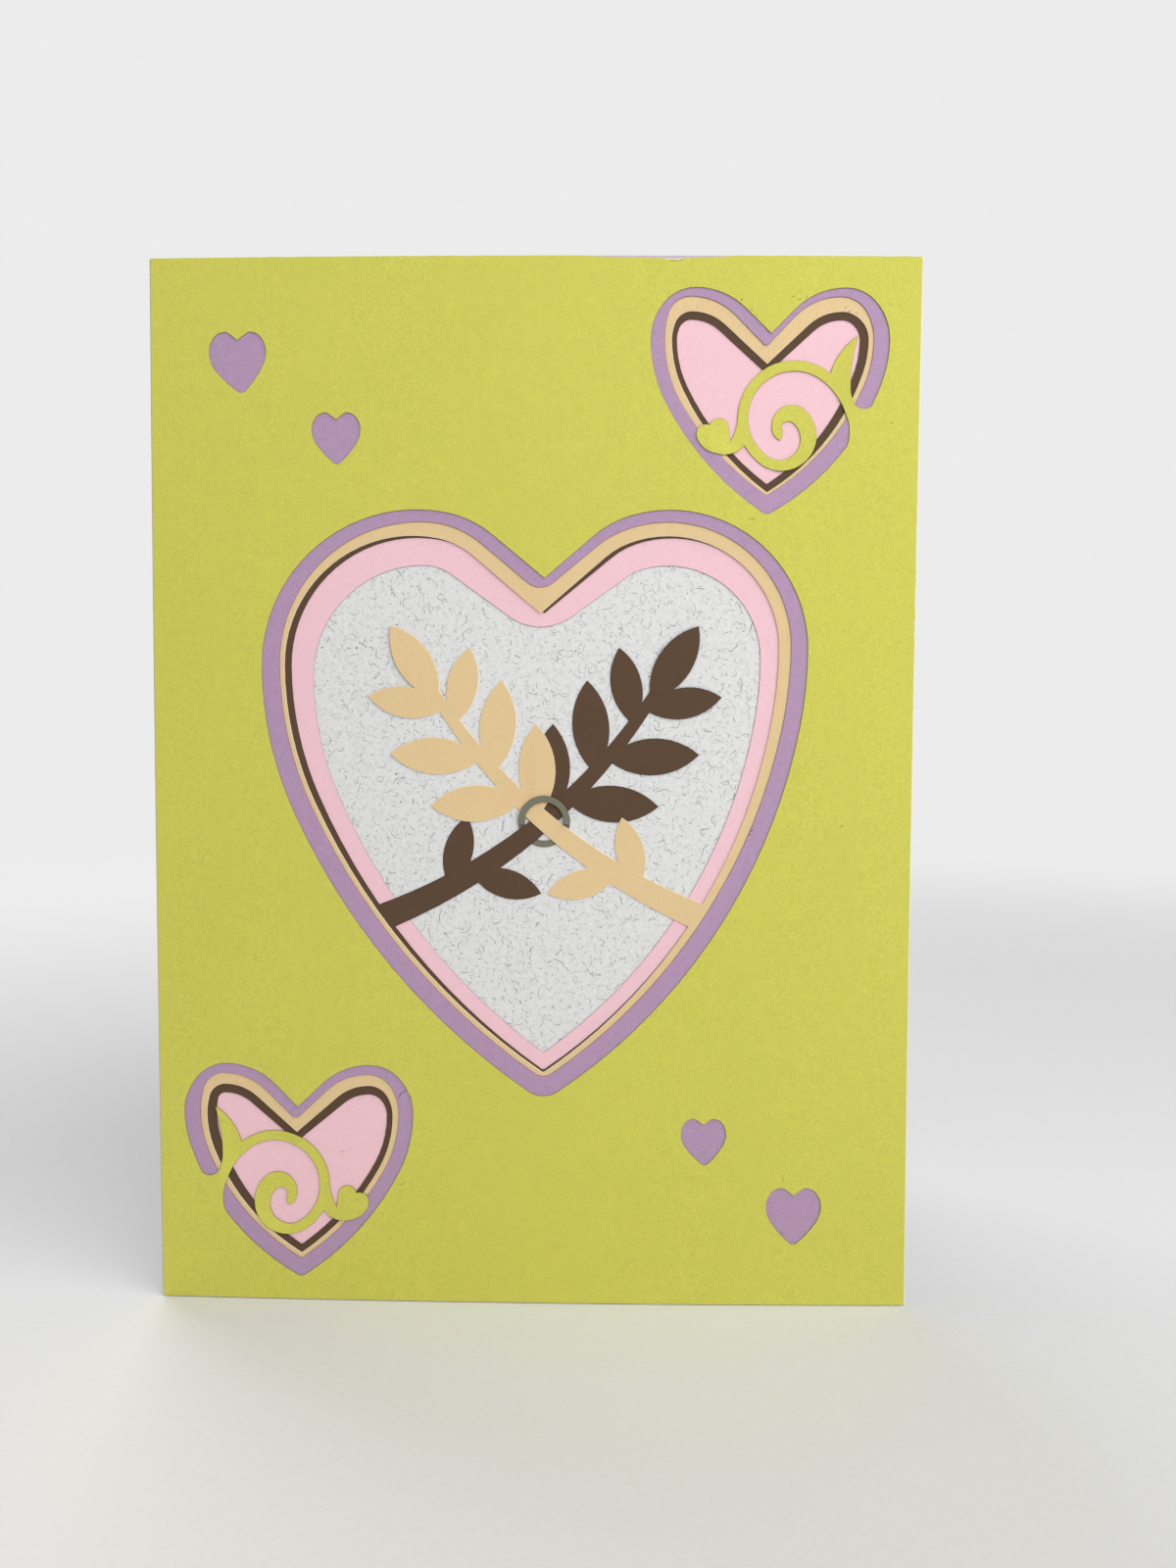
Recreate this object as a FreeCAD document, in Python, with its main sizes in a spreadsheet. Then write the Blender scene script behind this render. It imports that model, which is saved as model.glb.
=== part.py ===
"""Layered cut-paper greeting card, standing ajar on its lower edges.

A folded sheet of fibre paper makes the card. Five cut sheets are glued on its
front panel, one on another: pink, brown, tan, lilac and lime, each with heart
windows a little larger than the sheet behind it, so that the colours show as
frames round the hearts. A leafy sprig is cut in one piece with the brown sheet
and another with the tan sheet; they cross in the large heart, where a small
grey paper ring goes round both stems. The lime sheet carries a scroll across
each corner heart.

Millimetres. X to the right, Y to the back, Z up. The front faces -Y. The
origin is on the floor, under the middle of the card's box.
"""
import FreeCAD, Part
import math
import os
import Sketcher
from FreeCAD import Vector

doc = FreeCAD.newDocument("greeting_card")

# Driving dimensions, in millimetres and degrees
SIZES = {
    # folded card
    "card_width": 129.0,
    "card_height": 178.0,
    "paper_thickness": 0.3,
    "cut_sheet_thickness": 0.15,
    "fold_inner_radius": 0.4,
    "opening_angle": 35.0,
    # how far each cut sheet stays inside the card's outline
    "lime_left_trim": 0.5,
    "lime_right_trim": 0.0,
    "lime_top_trim": 0.2,
    "lime_bottom_trim": 0.0,
    "lilac_left_trim": 0.2,
    "lilac_right_trim": 0.2,
    "lilac_top_trim": 0.0,
    "lilac_bottom_trim": 0.3,
    "tan_left_trim": 0.4,
    "tan_right_trim": 0.4,
    "tan_top_trim": 0.4,
    "tan_bottom_trim": 0.4,
    "brown_left_trim": 0.4,
    "brown_right_trim": 0.5,
    "brown_top_trim": 0.4,
    "brown_bottom_trim": 0.4,
    "pink_left_trim": 0.4,
    "pink_right_trim": 0.4,
    "pink_top_trim": 0.4,
    "pink_bottom_trim": 0.4,
    # share of a lobe's reach that its shoulder arc takes, on the corner and small hearts
    "shoulder_share": 0.9,
    # large heart in the lime sheet; a crown reaches from its top to its widest place
    "big_x": 1.9,
    "big_z": 36.5,
    "big_height": 99.7,
    "big_notch_depth": 11.4,
    "big_notch_lean": 0.0,
    "big_left_lobe": 19.8,
    "big_right_lobe": 19.4,
    "big_left_half": 48.0,
    "big_right_half": 44.4,
    "big_left_crown": 26.4,
    "big_right_crown": 23.3,
    "big_lobe_radius": 17.2,
    "big_left_hip_radius": 60.0,
    "big_right_hip_radius": 72.0,
    "big_left_flank_radius": 116.5,
    "big_right_flank_radius": 97.4,
    "big_tip_radius": 4.5,
    # corner hearts in the lime sheet, the same shape turned over
    "corner_side_gap": 25.4,
    "corner_top_gap": 42.4,
    "corner_bottom_gap": 4.3,
    "corner_left_gap": 24.4,
    "corner_height": 37.2,
    "corner_notch_depth": 7.5,
    "corner_notch_lean": 0.4,
    "corner_inner_lobe": 12.2,
    "corner_outer_lobe": 12.8,
    "corner_inner_half": 19.6,
    "corner_outer_half": 20.1,
    "corner_crown": 8.4,
    "corner_lobe_radius": 12.0,
    "corner_inner_hip_radius": 22.6,
    "corner_outer_hip_radius": 20.8,
    "corner_inner_flank_radius": 49.0,
    "corner_outer_flank_radius": 40.5,
    "corner_tip_radius": 1.2,
    # small hearts, as shares of their own height
    "small_half_share": 0.48,
    "small_lobe_share": 0.21,
    "small_notch_share": 0.135,
    "small_side_share": 0.67,
    "small_lobe_radius_share": 0.09,
    "small_hip_share": 0.5,
    "small_flank_share": 1.8,
    "small_tip_share": 0.11,
    # scroll across a corner heart, measured from the heart's tip
    "loop_x": 4.45,
    "loop_z": 16.0,
    "loop_outer_radius": 9.45,
    "loop_inner_radius": 7.7,
    "loop_outer_root_angle": 51.0,
    "loop_inner_root_angle": 48.0,
    "turn_outer_radius": 5.8,
    "turn_inner_radius": 3.45,
    "turn_start_angle": 236.0,
    "curl_outer_radius": 3.3,
    "curl_inner_radius": 1.25,
    "curl_start_angle": 49.0,
    "curl_outer_end_angle": 183.0,
    "curl_inner_end_angle": 165.0,
    "bud_stem_top_angle": 178.0,
    "bud_stem_foot_angle": 209.0,
    # sprigs in the large heart
    "sprig_left_x": -26.0,
    "sprig_right_x": 30.0,
    "sprig_root_z": 67.0,
    "sprig_spread": 19.0,
    "sprig_top_z": 106.0,
    "sprig_bow": 5.0,
    "stem_root_width": 4.6,
    "stem_tip_width": 1.8,
    "leaf_length": 16.5,
    "leaf_width": 6.6,
    "leaf_angle": 47.0,
    # ring round the stems
    "ring_outer_radius": 4.4,
    "ring_band": 1.1,
    "ring_leg_angle": 16.0,
}

# Small hearts: place of the notch axis, height of the tip, own height, lean of the tip
SMALL_HEARTS = {
    "first": (-49.8, 155.7, 10.0, 0.6),
    "second": (-33.2, 143.8, 8.5, 0.1),
    "third": (29.5, 24.7, 8.0, 0.2),
    "fourth": (45.1, 10.9, 9.8, 0.0),
}
SMALL_FIELDS = ("x", "z", "height", "lean")

# How far a deeper sheet's window stays inside the lime window, side by side; shift
# moves its lobes and notch to the right and fall lowers its widest places
INSETS = {
    "big_lilac": (3.0, 2.8, 2.0, 1.5, 3.4, -0.7, -0.5),
    "big_tan": (3.8, 4.8, 4.3, 5.9, 4.1, -0.7, -0.2),
    "big_brown": (4.95, 4.5, 4.6, 5.8, 4.5, 0.0, -0.2),
    "big_pink": (8.7, 7.9, 9.2, 8.1, 7.5, -0.7, 1.6),
    "upper_lilac": (2.35, 2.6, 1.4, 1.9, 3.2, -0.8, 0.0),
    "upper_tan": (3.5, 3.45, 3.8, 4.9, 3.7, -0.6, 0.0),
    "upper_brown": (4.35, 4.85, 5.1, 6.5, 5.1, -0.6, 0.0),
    "lower_lilac": (2.6, 2.5, 1.7, 1.9, 3.1, -0.4, 0.0),
    "lower_tan": (3.7, 3.6, 3.7, 4.5, 4.0, -0.3, 0.5),
    "lower_brown": (5.35, 4.6, 5.25, 6.2, 5.4, -0.3, 0.5),
}
INSET_FIELDS = ("left", "right", "top", "notch", "tip", "shift", "fall")

# Radii that soften a window's notch and its tip
NOTCH_RADII = {"big_lilac": 3.4, "big_pink": 9.0, "upper_lilac": 0.6, "lower_lilac": 0.9}
TIP_RADII = {
    "big_lilac": 2.5, "big_tan": 0.5, "big_brown": 0.5, "big_pink": 0.6,
    "upper_lilac": 0.6, "upper_tan": 0.3, "upper_brown": 0.3,
    "lower_lilac": 0.6, "lower_tan": 0.3, "lower_brown": 0.3,
}

# Points of a scroll's outline, to the outside and up from the heart's tip
SCROLL_POINTS = {
    "curl_cap": (1.1, 13.1),
    "curl_point": (2.1, 12.25),
    "curl_throat": (2.5, 12.9),
    "horn_back": (12.3, 27.15),
    "horn_tip": (14.9, 29.5),
    "horn_front": (13.95, 24.8),
    "horn_foot": (13.75, 20.5),
    "bay_start": (14.05, 19.1),
    "bay_floor": (15.4, 17.55),
    "bay_end": (17.95, 19.2),
    "root_top": (19.5, 18.6),
    "root_foot": (14.6, 10.0),
    "bridge_foot": (13.1, 10.9),
    "bridge_bulge": (13.6, 12.9),
    "bridge_neck": (13.1, 16.3),
    "bridge_top": (12.5, 17.85),
    "bridge_bow": (11.25, 20.0),
    "bud_notch": (-9.65, 14.7),
    "bud_crown": (-8.0, 15.9),
    "bud_side": (-6.45, 14.1),
    "bud_crease": (-6.2, 12.1),
    "bud_stem": (-5.4, 13.8),
    "bud_belly": (-6.1, 9.95),
    "bud_base": (-8.6, 10.0),
    "bud_turn": (-10.4, 10.7),
    "bud_flank": (-11.8, 12.5),
    "bud_shoulder": (-11.1, 14.6),
}

for point_name, (point_x, point_z) in SCROLL_POINTS.items():
    SIZES[f"{point_name}_x"] = point_x
    SIZES[f"{point_name}_z"] = point_z
for heart_name, values in SMALL_HEARTS.items():
    for field, value in zip(SMALL_FIELDS, values):
        SIZES[f"{heart_name}_{field}"] = value
for window_name, values in INSETS.items():
    for field, value in zip(INSET_FIELDS, values):
        SIZES[f"{window_name}_{field}"] = value
for window_name, value in NOTCH_RADII.items():
    SIZES[f"{window_name}_notch_radius"] = value
for window_name, value in TIP_RADII.items():
    SIZES[f"{window_name}_tip_radius"] = value

sheet = doc.addObject("Spreadsheet::Sheet", "Sizes")
for row, (alias, value) in enumerate(SIZES.items(), start=1):
    sheet.set(f"A{row}", alias)
    sheet.set(f"B{row}", str(value))
    sheet.setAlias(f"B{row}", alias)
doc.recompute()


class Size:
    """A length or angle with its number and the sheet expression that gives it."""

    def __init__(self, number, text):
        self.number = number
        self.text = text

    @staticmethod
    def wrap(other):
        return other if isinstance(other, Size) else Size(float(other), repr(float(other)))

    def __add__(self, other):
        other = Size.wrap(other)
        return Size(self.number + other.number, f"({self.text} + {other.text})")

    def __sub__(self, other):
        other = Size.wrap(other)
        return Size(self.number - other.number, f"({self.text} - {other.text})")

    def __mul__(self, other):
        other = Size.wrap(other)
        return Size(self.number * other.number, f"({self.text} * {other.text})")

    def __truediv__(self, other):
        other = Size.wrap(other)
        return Size(self.number / other.number, f"({self.text} / {other.text})")

    def __neg__(self):
        return Size(-self.number, f"(-{self.text})")


def size(alias):
    """The spreadsheet cell with this alias, as a Size."""
    return Size(float(sheet.get(alias)), f"Sizes.{alias}")


def smaller(one, other):
    """The smaller of two sizes."""
    return Size(min(one.number, other.number), f"min({one.text}; {other.text})")


thickness = size("paper_thickness")
sheet_depth = size("cut_sheet_thickness")
card_width = size("card_width")
card_height = size("card_height")
fold_outer = size("fold_inner_radius") + thickness
opening = size("opening_angle")
panel_length = card_width - fold_outer

SHEETS = ("pink", "brown", "tan", "lilac", "lime")

# The glue plane is the front face of the folded card; it is set so that the
# middle of the whole card's depth lies at Y = 0.
opening_sine = Size(math.sin(math.radians(opening.number)), f"sin({opening.text} * 1deg)")
opening_cosine = Size(math.cos(math.radians(opening.number)), f"cos({opening.text} * 1deg)")
back_reach = fold_outer * (opening_cosine + 1.0) + panel_length * opening_sine
glue_y = (sheet_depth * len(SHEETS) - back_reach) / 2


def plane_of(body, role):
    """The origin plane of a body that has this role."""
    return [item for item in body.Origin.OriginFeatures if item.Role == role][0]


def new_sketch(body, role, name):
    """An empty sketch on one of the body's own origin planes."""
    sketch = body.newObject("Sketcher::SketchObject", name)
    sketch.AttachmentSupport = [(plane_of(body, role), "")]
    sketch.MapMode = "FlatFace"
    return sketch


def bind(sketch, kind, references, value):
    """Add a dimension to the sketch and bind it to the spreadsheet."""
    index = sketch.addConstraint(Sketcher.Constraint(kind, *references, value.number))
    sketch.setExpression(f"Constraints[{index}]", value.text)


def pin(sketch, edge, vertex, x, z):
    """Hold one vertex at a place measured from the sketch's origin."""
    bind(sketch, "DistanceX", (-1, 1, edge, vertex), x)
    bind(sketch, "DistanceY", (-1, 1, edge, vertex), z)


def add_line(sketch, start, end):
    """Add a straight edge between two (x, z) pairs."""
    return sketch.addGeometry(Part.LineSegment(Vector(*start, 0), Vector(*end, 0)), False)


def add_arc(sketch, centre, radius, start_angle, end_angle):
    """Add an arc that runs anticlockwise between two angles in radians."""
    circle = Part.Circle(Vector(*centre, 0), Vector(0, 0, 1), radius)
    return sketch.addGeometry(Part.ArcOfCircle(circle, start_angle, end_angle), False)


def draw_rectangle(sketch, left, bottom, right, top):
    """Draw an upright rectangle with its four sides bound."""
    corners = [(left, bottom), (right, bottom), (right, top), (left, top)]
    flat = [(x.number, z.number) for x, z in corners]
    edges = [add_line(sketch, flat[i], flat[(i + 1) % 4]) for i in range(4)]
    for i in range(4):
        sketch.addConstraint(Sketcher.Constraint("Coincident", edges[i], 2, edges[(i + 1) % 4], 1))
    for edge in (edges[0], edges[2]):
        sketch.addConstraint(Sketcher.Constraint("Horizontal", edge))
    for edge in (edges[1], edges[3]):
        sketch.addConstraint(Sketcher.Constraint("Vertical", edge))
    pin(sketch, edges[0], 1, left, bottom)
    pin(sketch, edges[1], 2, right, top)


class HeartSide:
    """Sizes of one half of a heart: its lobe, its widest place and its flank.

    A shouldered half turns from its top to its widest place by two arcs, the
    shoulder and the side; the other kind by one arc that starts from the lobe.
    """

    def __init__(self, lobe_x, top_z, side_x, side_z, radii, shouldered):
        self.lobe_x = lobe_x
        self.top_z = top_z
        self.side_x = side_x
        self.side_z = side_z
        self.lobe_radius, self.hip_radius, self.flank_radius = radii
        self.shouldered = shouldered

    def inset(self, side, top, shift, fall):
        """The same half, deeper inside: its radii shrink as a parallel line's do."""
        radii = [radius - top for radius in (self.lobe_radius, self.hip_radius, self.flank_radius)]
        place = (self.lobe_x + shift, self.top_z - top, self.side_x + side, self.side_z - fall)
        return HeartSide(*place, radii, self.shouldered)


class Heart:
    """A heart outline: notch, two halves and a rounded tip."""

    def __init__(self, notch, tip, tip_radius, left, right, notch_radius=None):
        self.notch = notch
        self.tip = tip
        self.tip_radius = tip_radius
        self.left = left
        self.right = right
        self.notch_radius = notch_radius

    def inset(self, name):
        """The window of a deeper sheet, from that window's insets in the sheet."""
        insets = [size(f"{name}_{field}") for field in INSET_FIELDS]
        left, right, top, notch, tip, shift, fall = insets
        return Heart(
            (self.notch[0] + shift, self.notch[1] - notch),
            (self.tip[0], self.tip[1] + tip),
            size(f"{name}_tip_radius"),
            self.left.inset(left, top, shift, fall),
            self.right.inset(-right, top, shift, fall),
            size(f"{name}_notch_radius") if name in NOTCH_RADII else None,
        )


def crown_arcs(side, sign):
    """The arcs from the lobe to the widest place: (centre, radius, entry, exit)."""
    lobe_x = sign * side.lobe_x.number
    side_x = sign * side.side_x.number
    top_z = side.top_z.number
    side_z = side.side_z.number
    lobe_radius = side.lobe_radius.number
    drop = top_z - side_z
    if not side.shouldered:
        crown = Vector(side_x - drop, side_z, 0)
        aside = lobe_x - crown.x
        lobe = Vector(lobe_x, side_z + math.sqrt((drop - lobe_radius) ** 2 - aside**2), 0)
        meeting = math.atan2((lobe - crown).y, (lobe - crown).x)
        return [(lobe, lobe_radius, None, meeting), (crown, drop, meeting, 0.0)]
    lobe = Vector(lobe_x, top_z - lobe_radius, 0)
    reach = side_x - lobe_x
    radius = sheet.get("shoulder_share") * min(reach, drop)
    side_radius = (reach**2 + drop**2 - 2 * drop * radius) / (2 * (reach - radius))
    shoulder = Vector(lobe_x, top_z - radius, 0)
    waist = Vector(side_x - side_radius, side_z, 0)
    between = (waist - shoulder) if radius > side_radius else (shoulder - waist)
    meeting = math.atan2(between.y, between.x)
    return [
        (lobe, lobe_radius, None, math.pi / 2),
        (shoulder, radius, math.pi / 2, meeting),
        (waist, side_radius, meeting, 0.0),
    ]


def flank_arcs(heart, side, sign):
    """The arcs from the widest place to the tip's arc: (centre, radius, entry, exit)."""
    tip_radius = heart.tip_radius.number
    tip = Vector(sign * heart.tip[0].number, heart.tip[1].number + tip_radius, 0)
    hip_radius = side.hip_radius.number
    flank_radius = side.flank_radius.number
    hip = Vector(sign * side.side_x.number - hip_radius, side.side_z.number, 0)
    from_hip = flank_radius - hip_radius
    from_tip = flank_radius - tip_radius
    span = tip - hip
    along = (from_hip**2 - from_tip**2 + span.Length**2) / (2 * span.Length)
    aside = math.sqrt(max(from_hip**2 - along**2, 0.0))
    foot = hip + span * (along / span.Length)
    turn = Vector(-span.y, span.x, 0) * (aside / span.Length)
    flank = min(foot + turn, foot - turn, key=lambda centre: centre.x)
    hip_exit = math.atan2((hip - flank).y, (hip - flank).x)
    flank_exit = math.atan2((tip - flank).y, (tip - flank).x)
    return [(hip, hip_radius, 0.0, hip_exit), (flank, flank_radius, hip_exit, flank_exit)]


def half_outline(heart, side, sign):
    """The straight edge's two ends and the arcs of one half, from notch to tip.

    The half is worked out as a right half; sign is -1 for the left one, which the
    caller mirrors back.
    """
    notch_radius = heart.notch_radius.number if heart.notch_radius else 0.0
    notch = Vector(sign * heart.notch[0].number, heart.notch[1].number + notch_radius, 0)
    crown = crown_arcs(side, sign)
    lobe, lobe_radius, _, lobe_exit = crown[0]
    across = lobe - notch
    slope = math.atan2(across.y, across.x)
    slope += math.asin((lobe_radius + notch_radius) / across.Length)
    normal = Vector(-math.sin(slope), math.cos(slope), 0)
    line = (notch - normal * notch_radius, lobe + normal * lobe_radius)
    crown[0] = (lobe, lobe_radius, slope + math.pi / 2, lobe_exit)
    return line, crown + flank_arcs(heart, side, sign)


def draw_half(sketch, heart, side, sign):
    """Draw one half and bind it; returns its straight edge, last arc and slope there."""
    line, arcs = half_outline(heart, side, sign)
    start, end = [(sign * point.x, point.y) for point in line]
    straight = add_line(sketch, start, end)
    entry, leave = (2, 1) if sign > 0 else (1, 2)
    edges = []
    for centre, radius, entry_angle, exit_angle in arcs:
        place = (sign * centre.x, centre.y)
        if sign > 0:
            edges.append(add_arc(sketch, place, radius, exit_angle, entry_angle))
        else:
            edges.append(add_arc(sketch, place, radius, math.pi - entry_angle, math.pi - exit_angle))
    lobe, *crown, hip, flank = edges
    sketch.addConstraint(Sketcher.Constraint("Tangent", straight, 2, lobe, entry))
    for first, second in zip(edges, edges[1:]):
        sketch.addConstraint(Sketcher.Constraint("Tangent", first, leave, second, entry))
    bind(sketch, "DistanceX", (-1, 1, lobe, 3), side.lobe_x)
    bind(sketch, "Radius", (lobe,), side.lobe_radius)
    drop = side.top_z - side.side_z
    if side.shouldered:
        reach = side.side_x - side.lobe_x if sign > 0 else side.lobe_x - side.side_x
        bind(sketch, "DistanceX", (-1, 1, crown[0], 3), side.lobe_x)
        bind(sketch, "DistanceY", (-1, 1, crown[0], entry), side.top_z)
        bind(sketch, "Radius", (crown[0],), size("shoulder_share") * smaller(reach, drop))
    else:
        bind(sketch, "Radius", (crown[0],), drop)
    bind(sketch, "DistanceY", (-1, 1, crown[-1], 3), side.side_z)
    bind(sketch, "DistanceY", (-1, 1, hip, 3), side.side_z)
    bind(sketch, "DistanceX", (-1, 1, hip, entry), side.side_x)
    bind(sketch, "Radius", (hip,), side.hip_radius)
    bind(sketch, "Radius", (flank,), side.flank_radius)
    return straight, (flank, leave), arcs[-1][3]


def draw_heart(sketch, heart):
    """Draw a closed heart with every size bound to the spreadsheet."""
    right_line, right_end, right_tip = draw_half(sketch, heart, heart.right, 1)
    left_line, left_end, left_tip = draw_half(sketch, heart, heart.left, -1)
    tip_radius = heart.tip_radius.number
    tip_place = (heart.tip[0].number, heart.tip[1].number + tip_radius)
    tip = add_arc(sketch, tip_place, tip_radius, math.pi - left_tip, 2 * math.pi + right_tip)
    sketch.addConstraint(Sketcher.Constraint("Tangent", *left_end, tip, 1))
    sketch.addConstraint(Sketcher.Constraint("Tangent", *right_end, tip, 2))
    bind(sketch, "Radius", (tip,), heart.tip_radius)
    pin(sketch, tip, 3, heart.tip[0], heart.tip[1] + heart.tip_radius)
    if heart.notch_radius is None:
        sketch.addConstraint(Sketcher.Constraint("Coincident", left_line, 1, right_line, 1))
        pin(sketch, right_line, 1, *heart.notch)
        return
    radius = heart.notch_radius
    centre = Vector(heart.notch[0].number, heart.notch[1].number + radius.number, 0)
    left_start = sketch.getPoint(left_line, 1) - centre
    right_start = sketch.getPoint(right_line, 1) - centre
    angles = [math.atan2(point.y, point.x) % (2 * math.pi) for point in (left_start, right_start)]
    notch = add_arc(sketch, (centre.x, centre.y), radius.number, *angles)
    sketch.addConstraint(Sketcher.Constraint("Tangent", notch, 1, left_line, 1))
    sketch.addConstraint(Sketcher.Constraint("Tangent", notch, 2, right_line, 1))
    bind(sketch, "Radius", (notch,), radius)
    pin(sketch, notch, 3, heart.notch[0], heart.notch[1] + radius)


def big_heart():
    """The large heart's window in the lime sheet."""
    x = size("big_x")
    z = size("big_z")
    top = z + size("big_height")
    sides = []
    for name, sign in (("left", -1), ("right", 1)):
        lobe_x = x + size(f"big_{name}_lobe") * sign
        side_x = x + size(f"big_{name}_half") * sign
        side_z = top - size(f"big_{name}_crown")
        radii = ["big_lobe_radius", f"big_{name}_hip_radius", f"big_{name}_flank_radius"]
        radii = [size(alias) for alias in radii]
        sides.append(HeartSide(lobe_x, top, side_x, side_z, radii, False))
    notch = (x + size("big_notch_lean"), top - size("big_notch_depth"))
    return Heart(notch, (x, z), size("big_tip_radius"), *sides)


def corner_heart(x, z, outward):
    """A corner heart's window in the lime sheet; outward is 1 at the right, -1 at the left."""
    top = z + size("corner_height")
    sides = {}
    for name, sign in (("inner", -outward), ("outer", outward)):
        lobe_x = x + size(f"corner_{name}_lobe") * sign
        side_x = x + size(f"corner_{name}_half") * sign
        side_z = top - size("corner_crown")
        radii = ["corner_lobe_radius", f"corner_{name}_hip_radius", f"corner_{name}_flank_radius"]
        radii = [size(alias) for alias in radii]
        sides[sign] = HeartSide(lobe_x, top, side_x, side_z, radii, True)
    notch = (x + size("corner_notch_lean") * outward, top - size("corner_notch_depth"))
    return Heart(notch, (x, z), size("corner_tip_radius"), sides[-1], sides[1])


def small_heart(name):
    """One of the small hearts, all of one shape, each with its own height."""
    x, z, height, lean = (size(f"{name}_{field}") for field in SMALL_FIELDS)
    top = z + height
    sides = []
    for sign in (-1, 1):
        lobe_x = x + size("small_lobe_share") * height * sign
        side_x = x + size("small_half_share") * height * sign
        side_z = z + size("small_side_share") * height
        shares = ("small_lobe_radius_share", "small_hip_share", "small_flank_share")
        radii = [size(share) * height for share in shares]
        sides.append(HeartSide(lobe_x, top, side_x, side_z, radii, True))
    notch = (x, top - size("small_notch_share") * height)
    return Heart(notch, (x + lean, z), size("small_tip_share") * height, *sides)


def cut_window(body, name, heart):
    """Cut one heart through the sheet and check that it took material away."""
    before = body.Shape.Volume
    sketch = new_sketch(body, "XZ_Plane", f"{name}_outline")
    draw_heart(sketch, heart)
    pocket = body.newObject("PartDesign::Pocket", f"{name}_window")
    pocket.Profile = sketch
    pocket.Type = 1
    pocket.Midplane = True
    doc.recompute()
    if not body.Shape.Volume < before:
        raise RuntimeError(f"{name} cuts nothing")


def cut_sheet(name, level, windows):
    """One cut sheet: a trimmed rectangle with its heart windows."""
    body = doc.addObject("PartDesign::Body", f"{name}_blank")
    sketch = new_sketch(body, "XZ_Plane", f"{name}_edges")
    draw_rectangle(
        sketch,
        -(card_width / 2) + size(f"{name}_left_trim"),
        size(f"{name}_bottom_trim"),
        card_width / 2 - size(f"{name}_right_trim"),
        card_height - size(f"{name}_top_trim"),
    )
    pad = body.newObject("PartDesign::Pad", f"{name}_paper")
    pad.Profile = sketch
    pad.Length = sheet_depth.number
    pad.setExpression("Length", sheet_depth.text)
    doc.recompute()
    for window, heart in windows.items():
        cut_window(body, f"{name}_{window}", heart)
    body.setExpression("Placement.Base.y", (glue_y - sheet_depth * level).text)
    return body


def folded_card():
    """The folded fibre paper: two panels and the fold between them, in one sheet."""
    body = doc.addObject("PartDesign::Body", "folded_card")
    sketch = new_sketch(body, "XY_Plane", "fold_section")
    inner = sheet.get("fold_inner_radius")
    outer = fold_outer.number
    angle = math.radians(opening.number)
    centre = (-card_width.number / 2 + outer, outer)
    along = (math.cos(angle), math.sin(angle))
    away = (-math.sin(angle), math.cos(angle))
    length = panel_length.number
    front = [(card_width.number / 2, 0.0), (centre[0], 0.0)]
    rear_outer = [(centre[0] + outer * away[0], centre[1] + outer * away[1])]
    rear_outer.append((rear_outer[0][0] + length * along[0], rear_outer[0][1] + length * along[1]))
    rear_inner = [(centre[0] + inner * away[0], centre[1] + inner * away[1])]
    rear_inner.append((rear_inner[0][0] + length * along[0], rear_inner[0][1] + length * along[1]))
    behind = [(centre[0], outer - inner), (card_width.number / 2, outer - inner)]
    front_line = add_line(sketch, *front)
    outer_arc = add_arc(sketch, centre, outer, angle + math.pi / 2, 1.5 * math.pi)
    rear_line = add_line(sketch, *rear_outer)
    rear_edge = add_line(sketch, rear_outer[1], rear_inner[1])
    rear_inside = add_line(sketch, rear_inner[1], rear_inner[0])
    inner_arc = add_arc(sketch, centre, inner, angle + math.pi / 2, 1.5 * math.pi)
    front_inside = add_line(sketch, *behind)
    front_edge = add_line(sketch, behind[1], front[0])
    tangents = (
        (front_line, 2, outer_arc, 2),
        (outer_arc, 1, rear_line, 1),
        (rear_inside, 2, inner_arc, 1),
        (inner_arc, 2, front_inside, 1),
    )
    for joint in tangents:
        sketch.addConstraint(Sketcher.Constraint("Tangent", *joint))
    joined = (
        (rear_line, 2, rear_edge, 1),
        (rear_edge, 2, rear_inside, 1),
        (front_inside, 2, front_edge, 1),
        (front_edge, 2, front_line, 1),
        (outer_arc, 3, inner_arc, 3),
    )
    for joint in joined:
        sketch.addConstraint(Sketcher.Constraint("Coincident", *joint))
    sketch.addConstraint(Sketcher.Constraint("Horizontal", front_line))
    sketch.addConstraint(Sketcher.Constraint("Horizontal", front_inside))
    sketch.addConstraint(Sketcher.Constraint("Parallel", rear_line, rear_inside))
    sketch.addConstraint(Sketcher.Constraint("Vertical", front_edge))
    sketch.addConstraint(Sketcher.Constraint("Perpendicular", rear_line, rear_edge))
    bind(sketch, "Radius", (inner_arc,), size("fold_inner_radius"))
    bind(sketch, "Radius", (outer_arc,), fold_outer)
    pin(sketch, front_line, 1, card_width / 2, Size(0.0, "0.0"))
    bind(sketch, "DistanceX", (-1, 1, outer_arc, 3), fold_outer - card_width / 2)
    bind(sketch, "Distance", (rear_line,), panel_length)
    slope = sketch.addConstraint(Sketcher.Constraint("Angle", -1, 1, rear_line, 1, angle))
    sketch.setExpression(f"Constraints[{slope}]", f"{opening.text} * 1deg")
    pad = body.newObject("PartDesign::Pad", "folded_paper")
    pad.Profile = sketch
    pad.Length = card_height.number
    pad.setExpression("Length", card_height.text)
    body.setExpression("Placement.Base.y", glue_y.text)
    body.Label = "card_base"
    return body


def polar(centre, radius, degrees):
    """A point at a distance and direction from a centre, in the front plane."""
    angle = math.radians(degrees)
    return centre + Vector(math.cos(angle), 0, math.sin(angle)) * radius


def arc_through(start, middle, end):
    """An arc edge through three points."""
    return Part.Arc(start, middle, end).toShape()


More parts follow.
